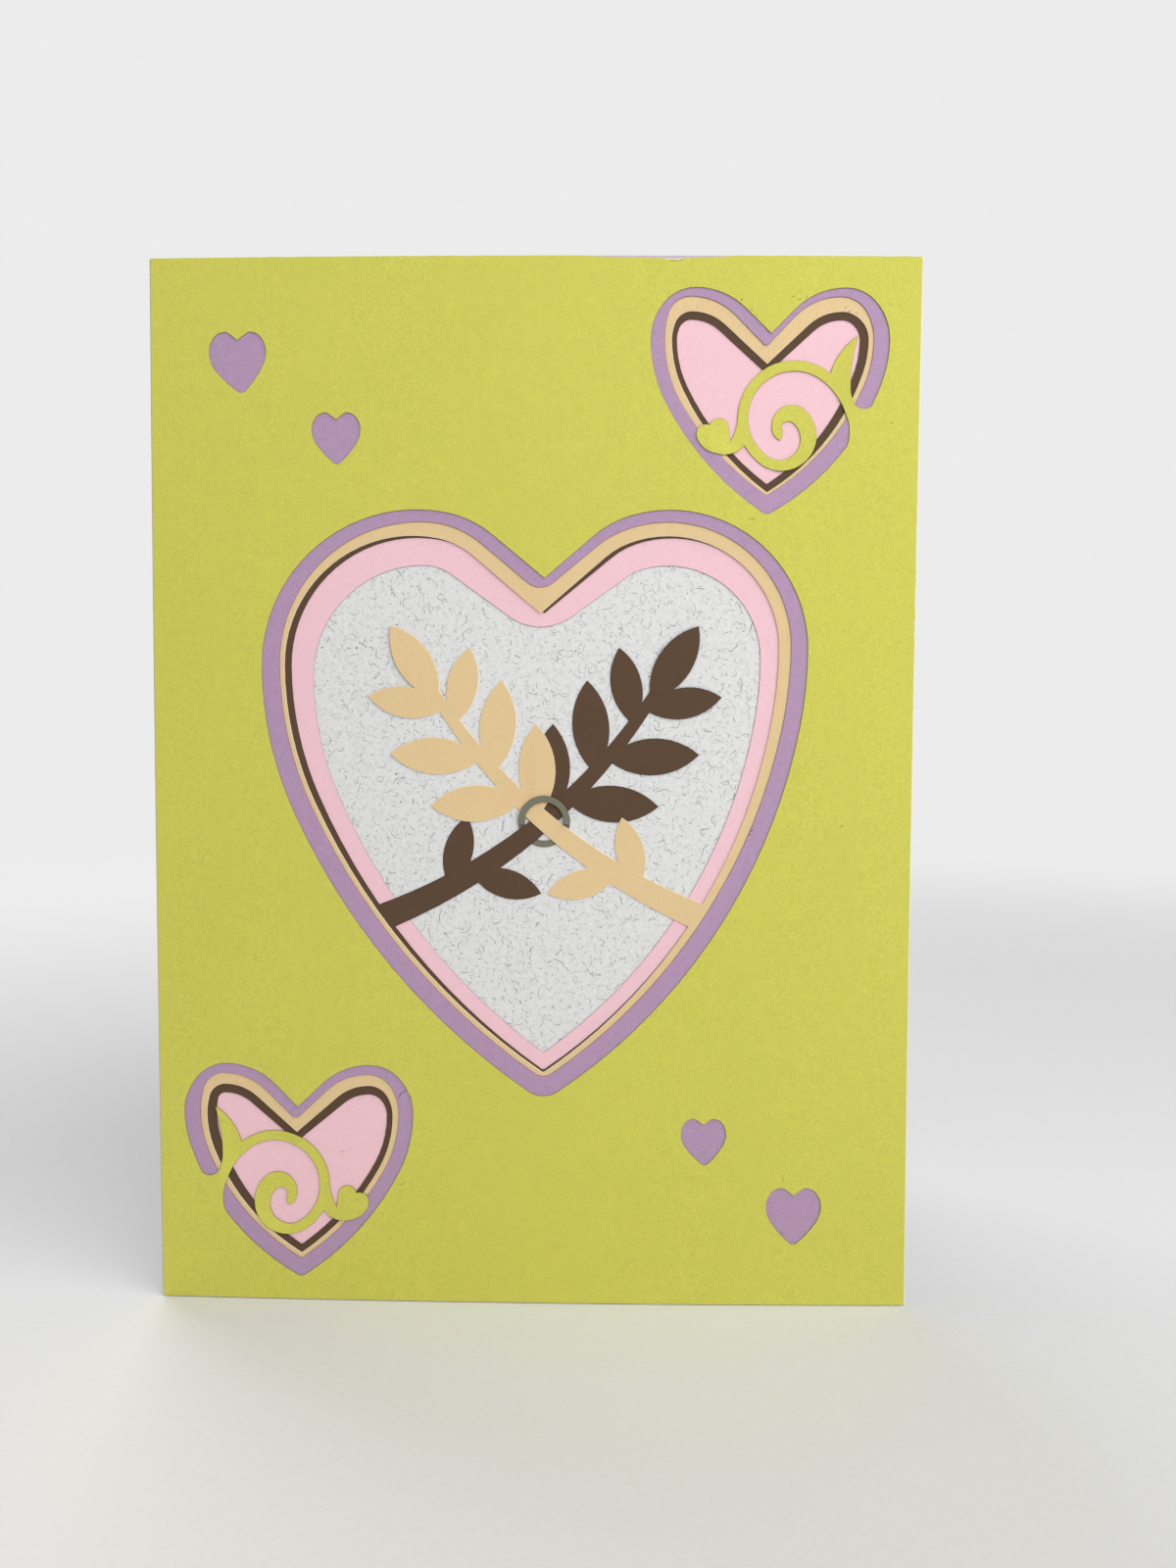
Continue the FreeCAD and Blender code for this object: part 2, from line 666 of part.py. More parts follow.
def arc_about(centre, radius, start_angle, end_angle):
    """An arc edge about a centre, from one direction to another in degrees."""
    middle = (start_angle + end_angle) / 2
    return arc_through(*(polar(centre, radius, turn) for turn in (start_angle, middle, end_angle)))


def paper_piece(edges, depth):
    """A flat piece of paper with this closed outline, its back face at Y = 0."""
    wire = Part.Wire(Part.__sortEdges__(edges))
    face = Part.Face(wire)
    return face.extrude(Vector(0, -depth, 0))


class Scroll:
    """The pieces of a right-hand scroll, placed from its heart's tip."""

    def __init__(self, tip):
        self.tip = tip
        self.loop = tip + Vector(sheet.get("loop_x"), 0, sheet.get("loop_z"))

    def point(self, name):
        """A named point of the outline."""
        return self.tip + Vector(sheet.get(f"{name}_x"), 0, sheet.get(f"{name}_z"))

    def bend(self, start, middle, end):
        """An arc through three points, given as places or by their names."""
        ends = [self.point(item) if isinstance(item, str) else item for item in (start, middle, end)]
        return arc_through(*ends)

    def chain(self, *stations):
        """Straight edges from station to station."""
        places = [self.point(item) if isinstance(item, str) else item for item in stations]
        return [Part.makeLine(first, second) for first, second in zip(places, places[1:])]

    def rim(self, side):
        """One rim of the band: loop, tighter turn and curl; its edges and two ends."""
        loop_radius = sheet.get(f"loop_{side}_radius")
        turn_radius = sheet.get(f"turn_{side}_radius")
        curl_radius = sheet.get(f"curl_{side}_radius")
        root = sheet.get(f"loop_{side}_root_angle")
        turn_start = sheet.get("turn_start_angle")
        curl_start = sheet.get("curl_start_angle") + 360
        curl_end = sheet.get(f"curl_{side}_end_angle") + 360
        turn = polar(self.loop, loop_radius - turn_radius, turn_start)
        curl = polar(turn, turn_radius - curl_radius, curl_start)
        edges = [
            arc_about(self.loop, loop_radius, root, turn_start),
            arc_about(turn, turn_radius, turn_start, curl_start),
            arc_about(curl, curl_radius, curl_start, curl_end),
        ]
        return edges, polar(self.loop, loop_radius, root), polar(curl, curl_radius, curl_end)

    def band(self, depth):
        """The band with the curl's pointed end."""
        outer, outer_root, outer_end = self.rim("outer")
        inner, inner_root, inner_end = self.rim("inner")
        cap = [
            self.bend(outer_end, "curl_cap", "curl_point"),
            self.bend("curl_point", "curl_throat", inner_end),
        ]
        return paper_piece([*outer, *inner, *cap, *self.chain(inner_root, outer_root)], depth)

    def root(self, depth):
        """The horn over the loop and the bridge that joins the loop to the sheet."""
        valley = polar(self.loop, sheet.get("loop_outer_radius"), sheet.get("loop_outer_root_angle"))
        throat = polar(self.loop, sheet.get("loop_inner_radius"), sheet.get("loop_inner_root_angle"))
        edges = [
            self.bend(valley, "horn_back", "horn_tip"),
            self.bend("horn_tip", "horn_front", "horn_foot"),
            *self.chain("horn_foot", "bay_start"),
            self.bend("bay_start", "bay_floor", "bay_end"),
            *self.chain("bay_end", "root_top", "root_foot", "bridge_foot"),
            self.bend("bridge_foot", "bridge_bulge", "bridge_neck"),
            *self.chain("bridge_neck", "bridge_top"),
            self.bend("bridge_top", "bridge_bow", throat),
            *self.chain(throat, valley),
        ]
        return paper_piece(edges, depth)

    def bud(self, depth):
        """The small heart-shaped bud at the loop's inner side, on its short stem."""
        radius = sheet.get("loop_outer_radius")
        middle = (radius + sheet.get("loop_inner_radius")) / 2
        angles = [sheet.get(f"bud_stem_{end}_angle") for end in ("top", "foot")]
        top, foot = [polar(self.loop, radius, angle) for angle in angles]
        inside = [polar(self.loop, middle, angle) for angle in angles]
        edges = [
            self.bend("bud_notch", "bud_crown", "bud_side"),
            *self.chain("bud_side", "bud_crease"),
            self.bend("bud_crease", "bud_stem", top),
            *self.chain(top, *inside, foot),
            self.bend(foot, "bud_belly", "bud_base"),
            self.bend("bud_base", "bud_turn", "bud_flank"),
            self.bend("bud_flank", "bud_shoulder", "bud_notch"),
        ]
        return paper_piece(edges, depth)


def scroll(name, tip_x, tip_z, outward):
    """The scroll across one corner heart, turned over for the left-hand one."""
    depth = sheet_depth.number
    tip = Vector(tip_x, 0, tip_z)
    pieces = Scroll(tip)
    shape = pieces.band(depth).multiFuse([pieces.root(depth), pieces.bud(depth)]).removeSplitter()
    if outward < 0:
        shape = shape.mirror(tip, Vector(1, 0, 0))
    feature = doc.addObject("Part::Feature", name)
    feature.Shape = shape
    feature.Placement = FreeCAD.Placement(front_of("lime"), FreeCAD.Rotation())
    return feature


def front_of(sheet_name):
    """The place of a sheet's back face, as its body has it."""
    level = SHEETS.index(sheet_name)
    return Vector(0, glue_y.number - sheet_depth.number * level, 0)


class Stem:
    """A sprig's bowed stem, from its root in the window's rim to its tip."""

    def __init__(self, root_x, tip_x):
        self.root = Vector(root_x, 0, sheet.get("sprig_root_z"))
        self.tip = Vector(tip_x, 0, sheet.get("sprig_top_z"))
        chord = self.tip - self.root
        self.hand = 1 if chord.x > 0 else -1
        bow = sheet.get("sprig_bow")
        self.middle = (self.root + self.tip) / 2 + self.side(chord) * bow
        self.curve = Part.Arc(self.root, self.middle, self.tip)

    def side(self, direction):
        """The unit vector that points to the stem's outer, lower side."""
        return Vector(direction.z, 0, -direction.x).normalize() * self.hand

    def at(self, share):
        """The point and heading at a share of the stem's length."""
        first, last = self.curve.FirstParameter, self.curve.LastParameter
        parameter = first + (last - first) * share
        heading = self.curve.tangent(parameter)[0]
        return self.curve.value(parameter), Vector(heading).normalize()


def stem_piece(stem, depth):
    """The stem itself, tapering from root to tip."""
    root_half = sheet.get("stem_root_width") / 2
    tip_half = sheet.get("stem_tip_width") / 2
    halves = (root_half, (root_half + tip_half) / 2, tip_half)
    rims = []
    for sign in (1, -1):
        points = []
        for share, half in zip((0.0, 0.5, 1.0), halves):
            point, heading = stem.at(share)
            points.append(point + stem.side(heading) * (half * sign))
        rims.append(points)
    edges = [
        arc_through(*rims[0]),
        Part.makeLine(rims[0][2], rims[1][2]),
        arc_through(*rims[1]),
        Part.makeLine(rims[1][0], rims[0][0]),
    ]
    return paper_piece(edges, depth)


def leaf_piece(base, heading, length, depth):
    """A pointed leaf between two equal arcs."""
    end = base + heading * length
    half = sheet.get("leaf_width") / 2 * length / sheet.get("leaf_length")
    across = Vector(-heading.z, 0, heading.x) * half
    middle = (base + end) / 2
    edges = [arc_through(base, middle + across, end), arc_through(end, middle - across, base)]
    return paper_piece(edges, depth)


# Where leaves stand along a stem, as shares of its length, each with its side of the
# stem, 1 for the side towards the other sprig, and its share of leaf_length
LEAF_STATIONS = (
    (0.21, 1, 0.75), (0.28, -1, 0.75),
    (0.55, 1, 0.95), (0.61, -1, 0.95),
    (0.72, 1, 0.95), (0.77, -1, 0.95),
    (0.89, 1, 0.80), (0.94, -1, 0.80),
)


def sprig(name, sheet_name, root_x, tip_x):
    """A leafy sprig, cut in one piece with its sheet."""
    depth = sheet_depth.number
    stem = Stem(root_x, tip_x)
    pieces = [stem_piece(stem, depth)]
    length = sheet.get("leaf_length")
    for share, hand, part in LEAF_STATIONS:
        base, heading = stem.at(share)
        turn = math.radians(sheet.get("leaf_angle") * hand * stem.hand)
        leaning = Vector(
            heading.x * math.cos(turn) - heading.z * math.sin(turn),
            0,
            heading.x * math.sin(turn) + heading.z * math.cos(turn),
        )
        pieces.append(leaf_piece(base, leaning, length * part, depth))
    base, heading = stem.at(0.97)
    pieces.append(leaf_piece(base, heading, length * 0.9, depth))
    feature = doc.addObject("Part::Feature", name)
    feature.Shape = pieces[0].multiFuse(pieces[1:]).removeSplitter()
    feature.Placement = FreeCAD.Placement(front_of(sheet_name), FreeCAD.Rotation())
    return feature, stem


def joined_sheet(name, pieces):
    """One sheet with the figures that are cut in one piece with it."""
    fuse = doc.addObject("Part::MultiFuse", f"{name}_joined")
    fuse.Shapes = pieces
    fuse.Refine = True
    fuse.Label = f"{name}_sheet"
    return fuse


def crossing_of(first, second):
    """Where two stems cross."""
    hits = first.curve.intersect(second.curve)
    return Vector(hits[0].X, 0, hits[0].Z)


def paper_ring(centre):
    """The ring: its upper half lies before both stems, its lower half behind them."""
    depth = sheet_depth.number
    outer = sheet.get("ring_outer_radius")
    inner = outer - sheet.get("ring_band")
    leg = sheet.get("ring_leg_angle")
    front, back = SHEETS.index("lilac"), SHEETS.index("pink")
    halves = []
    for level, start, end in ((front, -leg / 2, 180 + leg / 2), (back, 180 - leg / 2, 360 + leg / 2)):
        edges = [arc_about(centre, radius, start, end) for radius in (outer, inner)]
        for angle in (start, end):
            edges.append(Part.makeLine(polar(centre, inner, angle), polar(centre, outer, angle)))
        piece = paper_piece(edges, depth)
        piece.translate(Vector(0, -depth * level, 0))
        halves.append(piece)
    legs = []
    for middle in (0, 180):
        start, end = middle - leg / 2, middle + leg / 2
        edges = [arc_about(centre, radius, start, end) for radius in (outer, inner)]
        for angle in (start, end):
            edges.append(Part.makeLine(polar(centre, inner, angle), polar(centre, outer, angle)))
        legs.append(paper_piece(edges, depth * (front - back + 1)))
    ring = doc.addObject("Part::Feature", "ring")
    ring.Shape = halves[0].multiFuse([halves[1], *legs]).removeSplitter()
    ring.Placement = FreeCAD.Placement(front_of("pink"), FreeCAD.Rotation())
    ring.Label = "paper_ring"
    return ring


big = big_heart()
upper_x = card_width / 2 - size("corner_side_gap")
upper_z = card_height - size("corner_top_gap")
lower_x = size("corner_left_gap") - card_width / 2
lower_z = size("corner_bottom_gap")
upper = corner_heart(upper_x, upper_z, 1)
lower = corner_heart(lower_x, lower_z, -1)

windows = {"pink": {"big": big.inset("big_pink")}}
for colour in ("brown", "tan", "lilac"):
    windows[colour] = {
        "big": big.inset(f"big_{colour}"),
        "upper": upper.inset(f"upper_{colour}"),
        "lower": lower.inset(f"lower_{colour}"),
    }
windows["lime"] = {"big": big, "upper": upper, "lower": lower}
for heart_name in SMALL_HEARTS:
    windows["lime"][heart_name] = small_heart(heart_name)

blanks = {}
for level, colour in enumerate(SHEETS):
    blanks[colour] = cut_sheet(colour, level, windows[colour])
blanks["pink"].Label = "pink_sheet"
blanks["lilac"].Label = "lilac_sheet"

middle_x = sheet.get("big_x")
spread = sheet.get("sprig_spread")
brown_sprig, brown_stem = sprig("brown_sprig", "brown", sheet.get("sprig_left_x"), middle_x + spread)
tan_sprig, tan_stem = sprig("tan_sprig", "tan", sheet.get("sprig_right_x"), middle_x - spread)
upper_scroll = scroll("upper_scroll", upper_x.number, upper_z.number, 1)
lower_scroll = scroll("lower_scroll", lower_x.number, lower_z.number, -1)

nodes = [
    folded_card(),
    blanks["pink"],
    joined_sheet("brown", [blanks["brown"], brown_sprig]),
    joined_sheet("tan", [blanks["tan"], tan_sprig]),
    blanks["lilac"],
    joined_sheet("lime", [blanks["lime"], upper_scroll, lower_scroll]),
    paper_ring(crossing_of(brown_stem, tan_stem)),
]
doc.recompute()

for item in doc.Objects:
    if "Invalid" in item.State or "Error" in item.State:
        raise RuntimeError(f"{item.Name} failed: {item.State}")
os.makedirs("parts", exist_ok=True)
for node in nodes:
    shape = node.Shape
    if shape.isNull() or not shape.isValid():
        raise RuntimeError(f"{node.Label} has no valid shape")
    if len(shape.Solids) != 1:
        raise RuntimeError(f"{node.Label} is {len(shape.Solids)} solids")
    shape.exportStep(f"parts/{node.Label}.step")
    box = shape.BoundBox
    print(
        node.Label,
        f"x {box.XMin:.2f} {box.XMax:.2f}",
        f"y {box.YMin:.2f} {box.YMax:.2f}",
        f"z {box.ZMin:.2f} {box.ZMax:.2f}",
        f"volume {shape.Volume:.1f}",
    )
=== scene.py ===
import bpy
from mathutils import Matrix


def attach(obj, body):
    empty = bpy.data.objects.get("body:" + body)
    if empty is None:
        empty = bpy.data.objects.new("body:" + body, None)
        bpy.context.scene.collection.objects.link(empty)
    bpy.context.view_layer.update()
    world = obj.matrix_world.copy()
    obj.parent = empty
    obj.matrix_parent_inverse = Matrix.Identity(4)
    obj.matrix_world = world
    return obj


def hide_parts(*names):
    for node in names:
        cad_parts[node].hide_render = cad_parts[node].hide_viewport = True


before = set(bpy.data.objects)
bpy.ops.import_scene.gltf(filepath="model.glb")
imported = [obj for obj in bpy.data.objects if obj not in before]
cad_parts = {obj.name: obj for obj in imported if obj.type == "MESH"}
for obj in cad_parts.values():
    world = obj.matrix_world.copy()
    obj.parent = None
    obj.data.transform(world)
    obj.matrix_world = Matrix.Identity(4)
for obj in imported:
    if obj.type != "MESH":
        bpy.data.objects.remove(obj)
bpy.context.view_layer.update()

"""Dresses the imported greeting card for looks.

The card is a folded sheet of fibre paper that stands ajar. Five cut sheets of thin coloured paper are glued on
its front, so that hearts show in nested colours. Every piece here is shaped from a merged copy of its CAD
solid and stands in that solid's place. Lengths are in metres.
"""

import logging
import math
from dataclasses import dataclass
from enum import Enum

import bmesh
import bpy
from mathutils import Matrix, Vector, noise
from mathutils.bvhtree import BVHTree

LOG = logging.getLogger("card")

MM = 0.001

# The card: half its width, its height, the fold's middle line, and a depth just behind the front panel.
HALF_WIDTH = 64.5 * MM
HEIGHT = 178.0 * MM
FOLD_X = -63.8 * MM
FOLD_Y = -36.36 * MM
FRONT_PANEL_BACK = -36.68 * MM

# How near an outer edge a cut still counts as that edge, and how square to the front a sheet's face is.
EDGE_BAND = 0.8 * MM
FACE_NORMAL = 0.97

ACROSS = Vector((1.0, 0.0, 0.0))
UP = Vector((0.0, 0.0, 1.0))

# How the CAD's loose triangles are joined, and where its rims count as sharp.
MERGE_WITHIN = 2e-6
FLAT_WITHIN = math.radians(0.4)
CUT_WITHIN = 1e-6
RIM_ANGLE = math.radians(40)
SMOOTH_ANGLE = math.radians(25)

# Places are looked up on a grid of a hundredth of a millimetre.
PLACES_PER_METRE = 1e5

# The attribute that marks cut faces, and the UV map of the unfolded sheet.
CUT = "cut_edge"
FLAT = "flat_sheet"

# Colours that several finishes share, as sRGB tones from 0 to 255.
TORN_CORE = (226, 224, 216)
FIBRE = (58, 60, 66)

# The photograph's height in pixels, and the camera's sensor in millimetres.
PHOTO_HEIGHT = 1600.0
SENSOR = 36.0

Socket = bpy.types.NodeSocket


class Side(Enum):
    """The front sheet's edges that are torn in places."""

    RIGHT = "right"
    TOP = "top"


def linear(channel: float) -> float:
    """Turns one sRGB channel, 0 to 255, into its linear value."""
    c = channel / 255.0
    return c / 12.92 if c <= 0.04045 else ((c + 0.055) / 1.055) ** 2.4


def tone(red: float, green: float, blue: float) -> tuple[float, float, float, float]:
    """Gives the linear colour of an sRGB tone written 0 to 255."""
    return (linear(red), linear(green), linear(blue), 1.0)


def held(value: float, low: float, high: float) -> float:
    """Keeps a value between two ends."""
    return max(low, min(high, value))


# ---------------------------------------------------------------- shaping


def deselect_all() -> None:
    """Goes to object mode with nothing selected."""
    if bpy.context.object and bpy.context.object.mode != "OBJECT":
        bpy.ops.object.mode_set(mode="OBJECT")
    bpy.ops.object.select_all(action="DESELECT")


def take_up(piece: bpy.types.Object) -> None:
    """Makes one object the only selected and the active one."""
    deselect_all()
    piece.select_set(True)
    bpy.context.view_layer.objects.active = piece


def merged_copy(node_name: str, name: str) -> bpy.types.Object:
    """Copies a CAD solid's mesh and joins its loose triangles into plain faces.

    Args:
        node_name: The CAD node to copy.
        name: The new piece's name.

    Returns:
        The new piece, closed and with flat faces dissolved.
    """
    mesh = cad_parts[node_name].data.copy()
    mesh.name = name
    mesh.materials.clear()
    piece = bpy.data.objects.new(name, mesh)
    bpy.context.scene.collection.objects.link(piece)
    take_up(piece)
    bpy.ops.object.mode_set(mode="EDIT")
    bpy.ops.mesh.select_all(action="SELECT")
    bpy.ops.mesh.customdata_custom_splitnormals_clear()
    bpy.ops.mesh.remove_doubles(threshold=MERGE_WITHIN)
    bpy.ops.mesh.select_all(action="SELECT")
    bpy.ops.mesh.dissolve_limited(angle_limit=FLAT_WITHIN)
    bpy.ops.object.mode_set(mode="OBJECT")
    return piece


def soften_rims(piece: bpy.types.Object, width: float) -> None:
    """Bevels the cut rims, where two faces meet at a sharp angle.

    Args:
        piece: The paper piece.
        width: How far the bevel reaches from the edge.
    """
    take_up(piece)
    bevel = piece.modifiers.new("soft_rims", "BEVEL")
    bevel.width = width
    bevel.segments = 1
    bevel.limit_method = "ANGLE"
    bevel.angle_limit = RIM_ANGLE
    bevel.use_clamp_overlap = False
    bpy.ops.object.modifier_apply(modifier=bevel.name)


@dataclass(frozen=True)
class Patch:
    """A rectangle of the front, by its left, right, lower and upper side."""

    left: float
    right: float
    low: float
    high: float

    def holds(self, x: float, z: float) -> bool:
        """Tells whether a place lies in the patch."""
        return self.left < x < self.right and self.low < z < self.high

    def select(self, piece: bpy.types.Object) -> None:
        """Selects, in edit mode, the faces whose middle lies in the patch."""
        bpy.ops.mesh.select_all(action="DESELECT")
        sheet = bmesh.from_edit_mesh(piece.data)
        for face in sheet.faces:
            middle = face.calc_center_median()
            if self.holds(middle.x, middle.z):
                face.select_set(True)
        bmesh.update_edit_mesh(piece.data)

    def dice(self, piece: bpy.types.Object, across: float, up: float) -> None:
        """Cuts the faces in the patch into cells, so that they can bend.

        Args:
            piece: The piece to cut.
            across: The cells' width, or 0 for no upright cuts.
            up: The cells' height, or 0 for no level cuts.
        """
        take_up(piece)
        bpy.ops.object.mode_set(mode="EDIT")
        for normal, start, stop, step in ((ACROSS, self.left, self.right, across), (UP, self.low, self.high, up)):
            if step <= 0.0:
                continue
            for index in range(int((stop - start) / step + CUT_WITHIN) + 1):
                self.select(piece)
                bpy.ops.mesh.bisect(plane_co=normal * (start + index * step), plane_no=normal, threshold=CUT_WITHIN)
        bpy.ops.object.mode_set(mode="OBJECT")


WHOLE_FRONT = Patch(-66 * MM, 66 * MM, -3 * MM, 183 * MM)
UPPER_CORNER = Patch(18 * MM, 61 * MM, 134 * MM, 174 * MM)
LOWER_CORNER = Patch(-61 * MM, -19 * MM, 2 * MM, 43 * MM)
HEART_MIDDLE = Patch(-44 * MM, 44 * MM, 55 * MM, 122 * MM)


def mark_cuts(piece: bpy.types.Object) -> None:
    """Notes on each face whether it is a sheet's face (0), a window's rim (1), where most papers paint shade, or an
    outer edge (2).
    """
    mesh = piece.data
    mark = mesh.attributes.new(CUT, "FLOAT", "FACE")
    for face in mesh.polygons:
        x, _, z = face.center
        outer = abs(x) > HALF_WIDTH - EDGE_BAND or not EDGE_BAND < z < HEIGHT - EDGE_BAND
        mark.data[face.index].value = 0.0 if abs(face.normal.y) > FACE_NORMAL else (2.0 if outer else 1.0)


@dataclass(frozen=True)
class LiftedTip:
    """A cut tip that stands a little off the sheet below it."""

    x: float
    z: float
    rise: float
    reach: float

    def rise_at(self, x: float, z: float) -> float:
        """Gives the rise at one place on the front."""
        away = ((x - self.x) ** 2 + (z - self.z) ** 2) / self.reach**2
        return self.rise * math.exp(-away)


class PressedStack:
    """The sheets as the glue presses them: where nothing lies close below, thin parts sink.

    A part sinks to the paper below it, but rises by a gentle slope towards whatever carries it.
    """

    def __init__(self, slope: float, thickness: float, ease: float) -> None:
        """Starts an empty stack.

        Args:
            slope: How steeply paper bends down from what carries it.
            thickness: One sheet's thickness.
            ease: The share of the free depth that the paper sinks.
        """
        self.slope = slope
        self.thickness = thickness
        self.ease = ease
        self.carriers: list[tuple[int, float, BVHTree]] = []

    def add(self, level: int, node_name: str, back_only: bool = False) -> None:
        """Adds a CAD solid as a carrier.

        Args:
            level: Its level, counted from the folded paper.
            node_name: The CAD node.
            back_only: Whether only the half behind the solid's middle carries.
        """
        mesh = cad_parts[node_name].data
        corners = [vertex.co.copy() for vertex in mesh.vertices]
        middle = sum(corner.y for corner in corners) / len(corners)
        faces = [tuple(face.vertices) for face in mesh.polygons]
        if back_only:
            faces = [face for face in faces if all(corners[index].y > middle for index in face)]
        depth = min(corners[index].y for face in faces for index in face)
        self.carriers.append((level, depth, BVHTree.FromPolygons(corners, faces)))

    def sink_at(self, level: int, x: float, z: float) -> float:
        """Gives how far a sheet sinks at a place.

        Args:
            level: The sheet's level.
            x: The place across the card.
            z: The height on the card.

        Returns:
            The depth, 0 where the sheet lies on the next one.
        """
        sink = (level - 1) * self.thickness
        for below, depth, tree in self.carriers:
            if below >= level:
                continue
            place, _, _, _ = tree.find_nearest(Vector((x, depth, z)))
            aside = math.hypot(place.x - x, place.z - z)
            room = (level - below - 1) * self.thickness
            sink = min(sink, room + self.slope * aside + self.sink_at(below, place.x, place.z))
        return sink

    def settle(self, piece: bpy.types.Object, level: int, patches: tuple[Patch, ...]) -> None:
        """Sinks a sheet's free parts within some patches.

        Args:
            piece: The sheet.
            level: Its level.
            patches: Where it has free parts.
        """
        known: dict[tuple[int, int], float] = {}
        for vertex in piece.data.vertices:
            x, _, z = vertex.co
            if not any(patch.holds(x, z) for patch in patches):
                continue
            key = (round(x * PLACES_PER_METRE), round(z * PLACES_PER_METRE))
            if key not in known:
                known[key] = self.ease * self.sink_at(level, x, z)
            vertex.co.y += known[key]


@dataclass(frozen=True)
class FrontBow:
    """The slight swell of the front panel about an upright line, and its not quite straight sides."""

    swell: float = 0.9 * MM
    fold_out: float = 0.33 * MM
    fold_waist: float = 0.22 * MM
    free_out: float = 0.1 * MM
    free_waist: float = -0.26 * MM
    edge_from: float = 59.0 * MM
    edge_full: float = HALF_WIDTH - 1.0 * MM

    def stray_at(self, x: float, z: float) -> float:
        """Gives how far the fold and the free edge stray outwards from straight lines."""
        share = held((abs(x) - self.edge_from) / (self.edge_full - self.edge_from), 0.0, 1.0)
        waist = 1.0 - (2.0 * z / HEIGHT - 1.0) ** 2
        if x < 0.0:
            return -share * (self.fold_out + self.fold_waist * waist)
        return share * (self.free_out + self.free_waist * waist)

    def swell_at(self, x: float) -> float:
        """Gives how far the front stands out at x."""
        share = held(x / HALF_WIDTH, -1.0, 1.0)
        return self.swell * (1.0 - share * share)

    def apply(self, piece: bpy.types.Object, tips: tuple[LiftedTip, ...] = ()) -> None:
        """Moves a piece's front-panel vertices out by the swell and by its lifted tips.

        Args:
            piece: A piece of the front.
            tips: The places where this piece stands off.
        """
        for vertex in piece.data.vertices:
            x, y, z = vertex.co
            if x < 0.0 or y < FRONT_PANEL_BACK:
                vertex.co.x = x + self.stray_at(x, z)
            if y <= FRONT_PANEL_BACK:
                vertex.co.y = y - self.swell_at(x) - sum(tip.rise_at(x, z) for tip in tips)


@dataclass(frozen=True)
class TornRim:
    """A stretch of a sheet's right or top edge where the knife tore its pale core open."""

    side: Side
    start: float
    stop: float
    push: float
    width: float
    pale: float = 1.0

    def share_at(self, along: float) -> float:
        """Gives 1 in the middle of the stretch and 0 outside it."""
        if not self.start < along < self.stop:
            return 0.0
        return math.sin(math.pi * (along - self.start) / (self.stop - self.start)) ** 0.5

    def mask(self, bench: "NodeBench", x: Socket, z: Socket, ragged: Socket) -> Socket:
        """Adds the nodes that are 1 on the torn core, which narrows to both ends.

        Args:
            bench: The material's bench.
            x: The place across the card.
            z: The height on the card.
            ragged: A fine noise that frays the tear.

        Returns:
            The mask.
        """
        along, across, edge = (z, x, HALF_WIDTH) if self.side is Side.RIGHT else (x, z, HEIGHT)
        middle, half = (self.start + self.stop) / 2, (self.stop - self.start) / 2
        off = bench.maths("DIVIDE", bench.maths("SUBTRACT", along, middle), half)
        taper = bench.maths("SUBTRACT", 1.0, bench.product(off, off))
        depth = bench.product(taper, bench.spread(ragged, 0.3, 0.7, 0.45, 1.25), self.width)
        inner = bench.maths("SUBTRACT", edge, depth)
        return bench.spread(bench.maths("SUBTRACT", across, inner), -0.03 * MM, 0.05 * MM, 0.0, self.pale)


